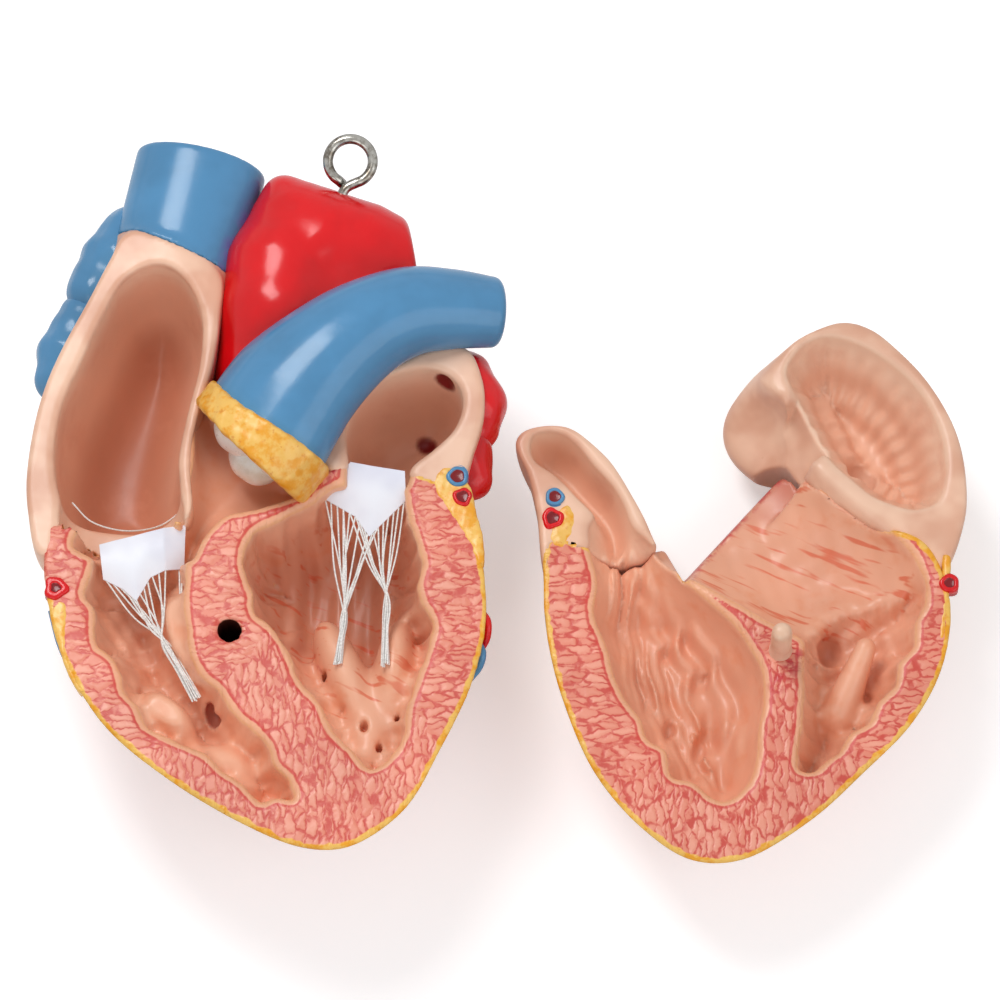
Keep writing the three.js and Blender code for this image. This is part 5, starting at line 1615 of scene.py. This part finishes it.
def front_muscle_shape(x, y, z):
    left, right = front_rooms(x, y, z)
    body = soft_max(front_bowl(x, y, z), z, 0.7)
    wall = soft_max(body, -soft_min(left, right, 0.8), 2.0)
    wall = soft_max(wall, -vessel_recess(x, y, z), 1.0)
    wall = soft_max(wall, soft_min(conus_side(x, y, z), auricle_side(x, y, z), 0.8), 0.6)
    return np.maximum(wall, -FRONT_TOP - z)


def front_muscle_readings(points):
    readings = face_readings(points, front_muscle_edge,
                             [front_left_edge, front_right_edge, conus_edge, left_auricle_edge],
                             front_nearest_room, (0, -4))
    x, y, z = points.T
    conus, _ = conus_edge(x, y)
    readings["socket"] = np.zeros(len(x))
    readings["streaked"] = np.clip(-conus / 2, 0, 1) * np.clip(-z / 3, 0, 1)
    readings["groove_fat"] = np.clip(1.3 - np.abs(y - 6 + 0.2 * x) / 8, 0, 1) * (z < -2) * (np.abs(x) > 27)
    from_peg = rod((-8.0, -6.6, 0), (-4.2, -12.5, 0), (0, 0), x, y, z * 0)
    from_edge = np.abs(conus_side(x, y, z)) + 9 * (x > 11)
    readings["stain"] = np.maximum(np.clip(1.5 - from_peg / 1.4, 0, 1) * (z > -1.5),
                                   np.clip(1.1 - from_edge / 0.9, 0, 1))
    return readings


cast_piece("front_half", "front_muscle", "front_ventricles", front_muscle_shape,
           (-38, -47, -29), (40, 30, 1), 0.6, build_muscle_paint("front_muscle_paint"), front_muscle_readings)


# Front half: the right auricle
# A deep peach cup. Its inside steps down in two ledges with the comb-like ridges of the auricle's muscle.
right_auricle_loop = rounded_loop([
    (-34.4, 10), (-38.7, 19.7), (-39.1, 28.2), (-37.4, 37.2), (-32.8, 46.2), (-27.5, 52.5), (-22.3, 56.9),
    (-17.8, 58.4), (-11.9, 56.7), (-5.9, 52.9), (-2.9, 49.6), (-1.2, 45), (0, 40), (-1, 34), (-4, 28),
    (-9.5, 22), (-17.3, 18), (-29, 12),
])
right_auricle_edge = edge_map([
    (-6.2, 48.4), (-7.4, 51.6), (-11.1, 55), (-14.9, 55.8), (-20.5, 54.2), (-26.2, 50.4), (-31.1, 45.2),
    (-33.8, 40), (-35.5, 33.9), (-35.5, 27.4), (-34, 23), (-30, 21.4), (-25.5, 22.4), (-21.7, 24.2),
    (-18.2, 27.2), (-14.6, 30.6), (-12, 34.7), (-10, 38.7), (-8, 43.5),
])


def auricle_room(x, y, z):
    edge, way = right_auricle_edge(x, y)
    sway = 0.5 * unevenness(x, y, z * 0, 12)
    combs = np.sin(way * 1.55 + sway * 2) * np.clip((-edge - 0.8) / 1.2, 0, 1)
    combs = combs * np.clip((10.5 + edge) / 2, 0, 1)
    ledge = 1.5 * np.tanh((-edge + sway - 4.2) / 0.8) + 1.3 * np.tanh((-edge + sway - 8.4) / 0.8)
    room = hollow(edge, 12, 14.5, z - 0.5 * combs + 1.1 * ledge, 2.2)
    return soft_min(room, ball((-19.5, 31.5, -13), (3.4, 5.5, 5), x, y, z, 0.7), 1.2)


def clear_of_muscle(body, x, y, z):
    """Cut an auricle back to where the front muscle's outside begins."""
    body = soft_max(body, -front_muscle_shape(x, y, z) - 1.2, 0.6)
    return soft_max(body, -soft_max(z + 0.4, front_muscle_edge(x, y)[0] + 0.8, 0.3), 0.3)


def right_auricle_shape(x, y, z):
    body = soft_max(bowl(right_auricle_loop, (-17, 36), 26, x, y, z), z, 1.3)
    beyond_rim = right_auricle_edge(x, y)[0] - 2.3
    fall = 1.5 * np.maximum(beyond_rim, 0) * np.clip((x - 0.15 * (y - 20) + 28) / 8, 0, 1)
    body = soft_max(body, z + fall, 1.6)
    body = soft_min(body, ball((-6.2, 41, -17.5), (11, 8.6, 10.4), x, y, z, 0.35), 6)
    body = soft_min(body, ball((-10, 45, -13.5), (10.5, 9.6, 11), x, y, z), 5)
    body = soft_max(body, z + 1.5 * np.maximum(beyond_rim - 1.5, 0) * (x > -20) - 0.6, 3)
    body = soft_max(body, -vessel_recess(x, y, z), 3)
    body = soft_max(body, -front_rooms(x, y, z)[1] - 0.3, 0.8)
    return soft_max(clear_of_muscle(body, x, y, z), -auricle_room(x, y, z), 1.2)


cast_piece("front_half", "right_auricle_cup", "right_auricle", right_auricle_shape,
           (-41, 6, -28), (7, 60, 1), 0.55, peach_paint, chamber_readings(auricle_room))


# Front half: the left auricle
# A small peach trough with a thick smooth rim, which runs down into the left chamber.
left_auricle_loop = rounded_loop([
    (42.8, 34.3), (41.8, 36.4), (38.5, 37.7), (33.3, 37.5), (28.8, 34.3), (23.4, 28.2), (20.2, 22.4),
    (18.4, 17.4), (15.4, 8), (21, 1), (30, 1), (37, 8), (39, 21.3), (40.5, 28.2),
])


def front_left_room(x, y, z):
    return front_rooms(x, y, z)[0]


def left_auricle_shape(x, y, z):
    body = soft_max(bowl(left_auricle_loop, (31, 23), 22, x, y, z), z, 1.3)
    body = soft_min(body, ball((23.5, 11.6, -14.5), (8.5, 5.6, 5.6), x, y, z), 3)
    body = soft_max(clear_of_muscle(body, x, y, z), auricle_side(x, y, z) + 0.3, 0.6)
    return soft_max(body, -front_left_room(x, y, z), 1.3)


cast_piece("front_half", "left_auricle_trough", "left_auricle", left_auricle_shape,
           (13, -1, -24), (45, 40, 1), 0.5, peach_paint, chamber_readings(front_left_room))


# Front half: the locating peg
# A pale moulded peg with a rounded tip, pressed into the septum. It enters the socket when the heart closes.
def build_peg_paint():
    material, tree, shader = new_material("peg_plastic")
    place = object_place(tree)
    worn = fade(tree, noise(tree, place, 200, 3.0)["Fac"], 0.4, 0.7)
    paint = lay_paint(tree, shader, mix_colour(tree, worn, hue(238, 202, 174), hue(226, 180, 150)), 0.08, 0.4)
    add_bump(tree, shader, paint["Height"], 0.3, 0.0001)
    return material


# Radius and height of the peg's outline, from its foot in the septum to the rounded tip.
peg_profile = [(0.02, -4.8), (1.9, -4.8), (1.9, -1.2), (2.25, -0.35), (2.05, 0.25), (1.93, 1.2), (1.9, 4),
               (1.88, 9), (1.78, 9.9), (1.5, 10.55), (1.05, 10.9), (0.5, 11.02), (0.02, 11.04)]
PEG_SIDES = 40
turn = np.linspace(0, 2 * math.pi, PEG_SIDES, endpoint=False)
peg_points = np.vstack([np.column_stack([PEG_AT[0] + radius * np.cos(turn), PEG_AT[1] + radius * np.sin(turn),
                                         np.full(PEG_SIDES, height)]) for radius, height in peg_profile])
peg = make_piece("peg", on_front(peg_points), band_faces(len(peg_profile), PEG_SIDES), build_peg_paint())
close_ends(peg)
seat(peg, "front_half", "locating_peg")


# Front half: the groove fat and the coronary vessels
# The front partners of the rear half's vessels: they meet it end to end when the heart is closed.
cast_groove_fat("front_half", "front_left_groove_fat", [
    (33.4, 22.6), (35.2, 21.8), (36.6, 18), (37.0, 15.4), (35.6, 13.8), (34.0, 13.8), (32.4, 16.6),
    (31.8, 20.4),
], 5)
cast_groove_fat("front_half", "front_right_groove_fat", [
    (-35.9, 12.6), (-34.6, 12.8), (-34.2, 9), (-34.0, 3), (-33.4, -3.6), (-34.4, -4), (-35.3, 1), (-35.7, 7),
], 4)

front_routes = {
    "descending": ("anterior_descending_artery", red_paint, "red_vessel", 1.7, 0.3, [
        (36.1, 19.6, -0.2), (36, 18.4, -4.5), (33.4, 13.5, -12), (26, 7, -17.5), (17.5, 2, -22),
        (10, -8, -25.6), (6, -20, -25.6), (6, -32, -20.5)]),
    "great_vein": ("great_cardiac_vein", blue_paint, "blue_vessel", 1.9, 0.3, [
        (35.7, 23.7, -0.2), (35.6, 22.8, -4.5), (33, 18.5, -12), (27.5, 12.5, -16.5), (20, 7, -19.5),
        (12, 0, -23.6), (6, -8, -26), (2.4, -20, -26)]),
    "front_right_coronary": ("front_right_coronary_artery", red_paint, "red_vessel", 1.7, 0.2, [
        (-35.5, 7.1, -0.2), (-35.2, 8.2, -4.5), (-32.5, 13.5, -12), (-26, 18.5, -16.5), (-20, 21.5, -18.5),
        (-15.5, 22.5, -19)]),
    "diagonal_branch": (None, red_paint, "red_vessel", 0.8, 0.6, [
        (21, 4), (24, -6), (24, -18), (19, -28)]),
    "marginal_branch": (None, red_paint, "red_vessel", 0.8, 0.6, [
        (-30, 8), (-27, -2), (-21, -12), (-12, -24)]),
}
for name, (node, paint, slot, radius, taper, route) in front_routes.items():
    if node:
        line = smooth_line(route, CORD_POINTS)
    else:
        line = over_surface(front_muscle_loop, FRONT_CENTRE, FRONT_DEPTH, route, radius, False)
    make_vessel("front_half", name + "_cord", node, line, radius, paint, taper)

make_mouth("front_half", "great_vein_mouth", (35.7, 23.7), 1.75, 1.05, blue_paint)
make_mouth("front_half", "descending_mouth", (36.1, 19.6), 2.0, 1.1, red_paint, 0.08)
make_mouth("front_half", "front_coronary_mouth", (-35.6, 7.1), 1.8, 0.9, red_paint, 0.05)
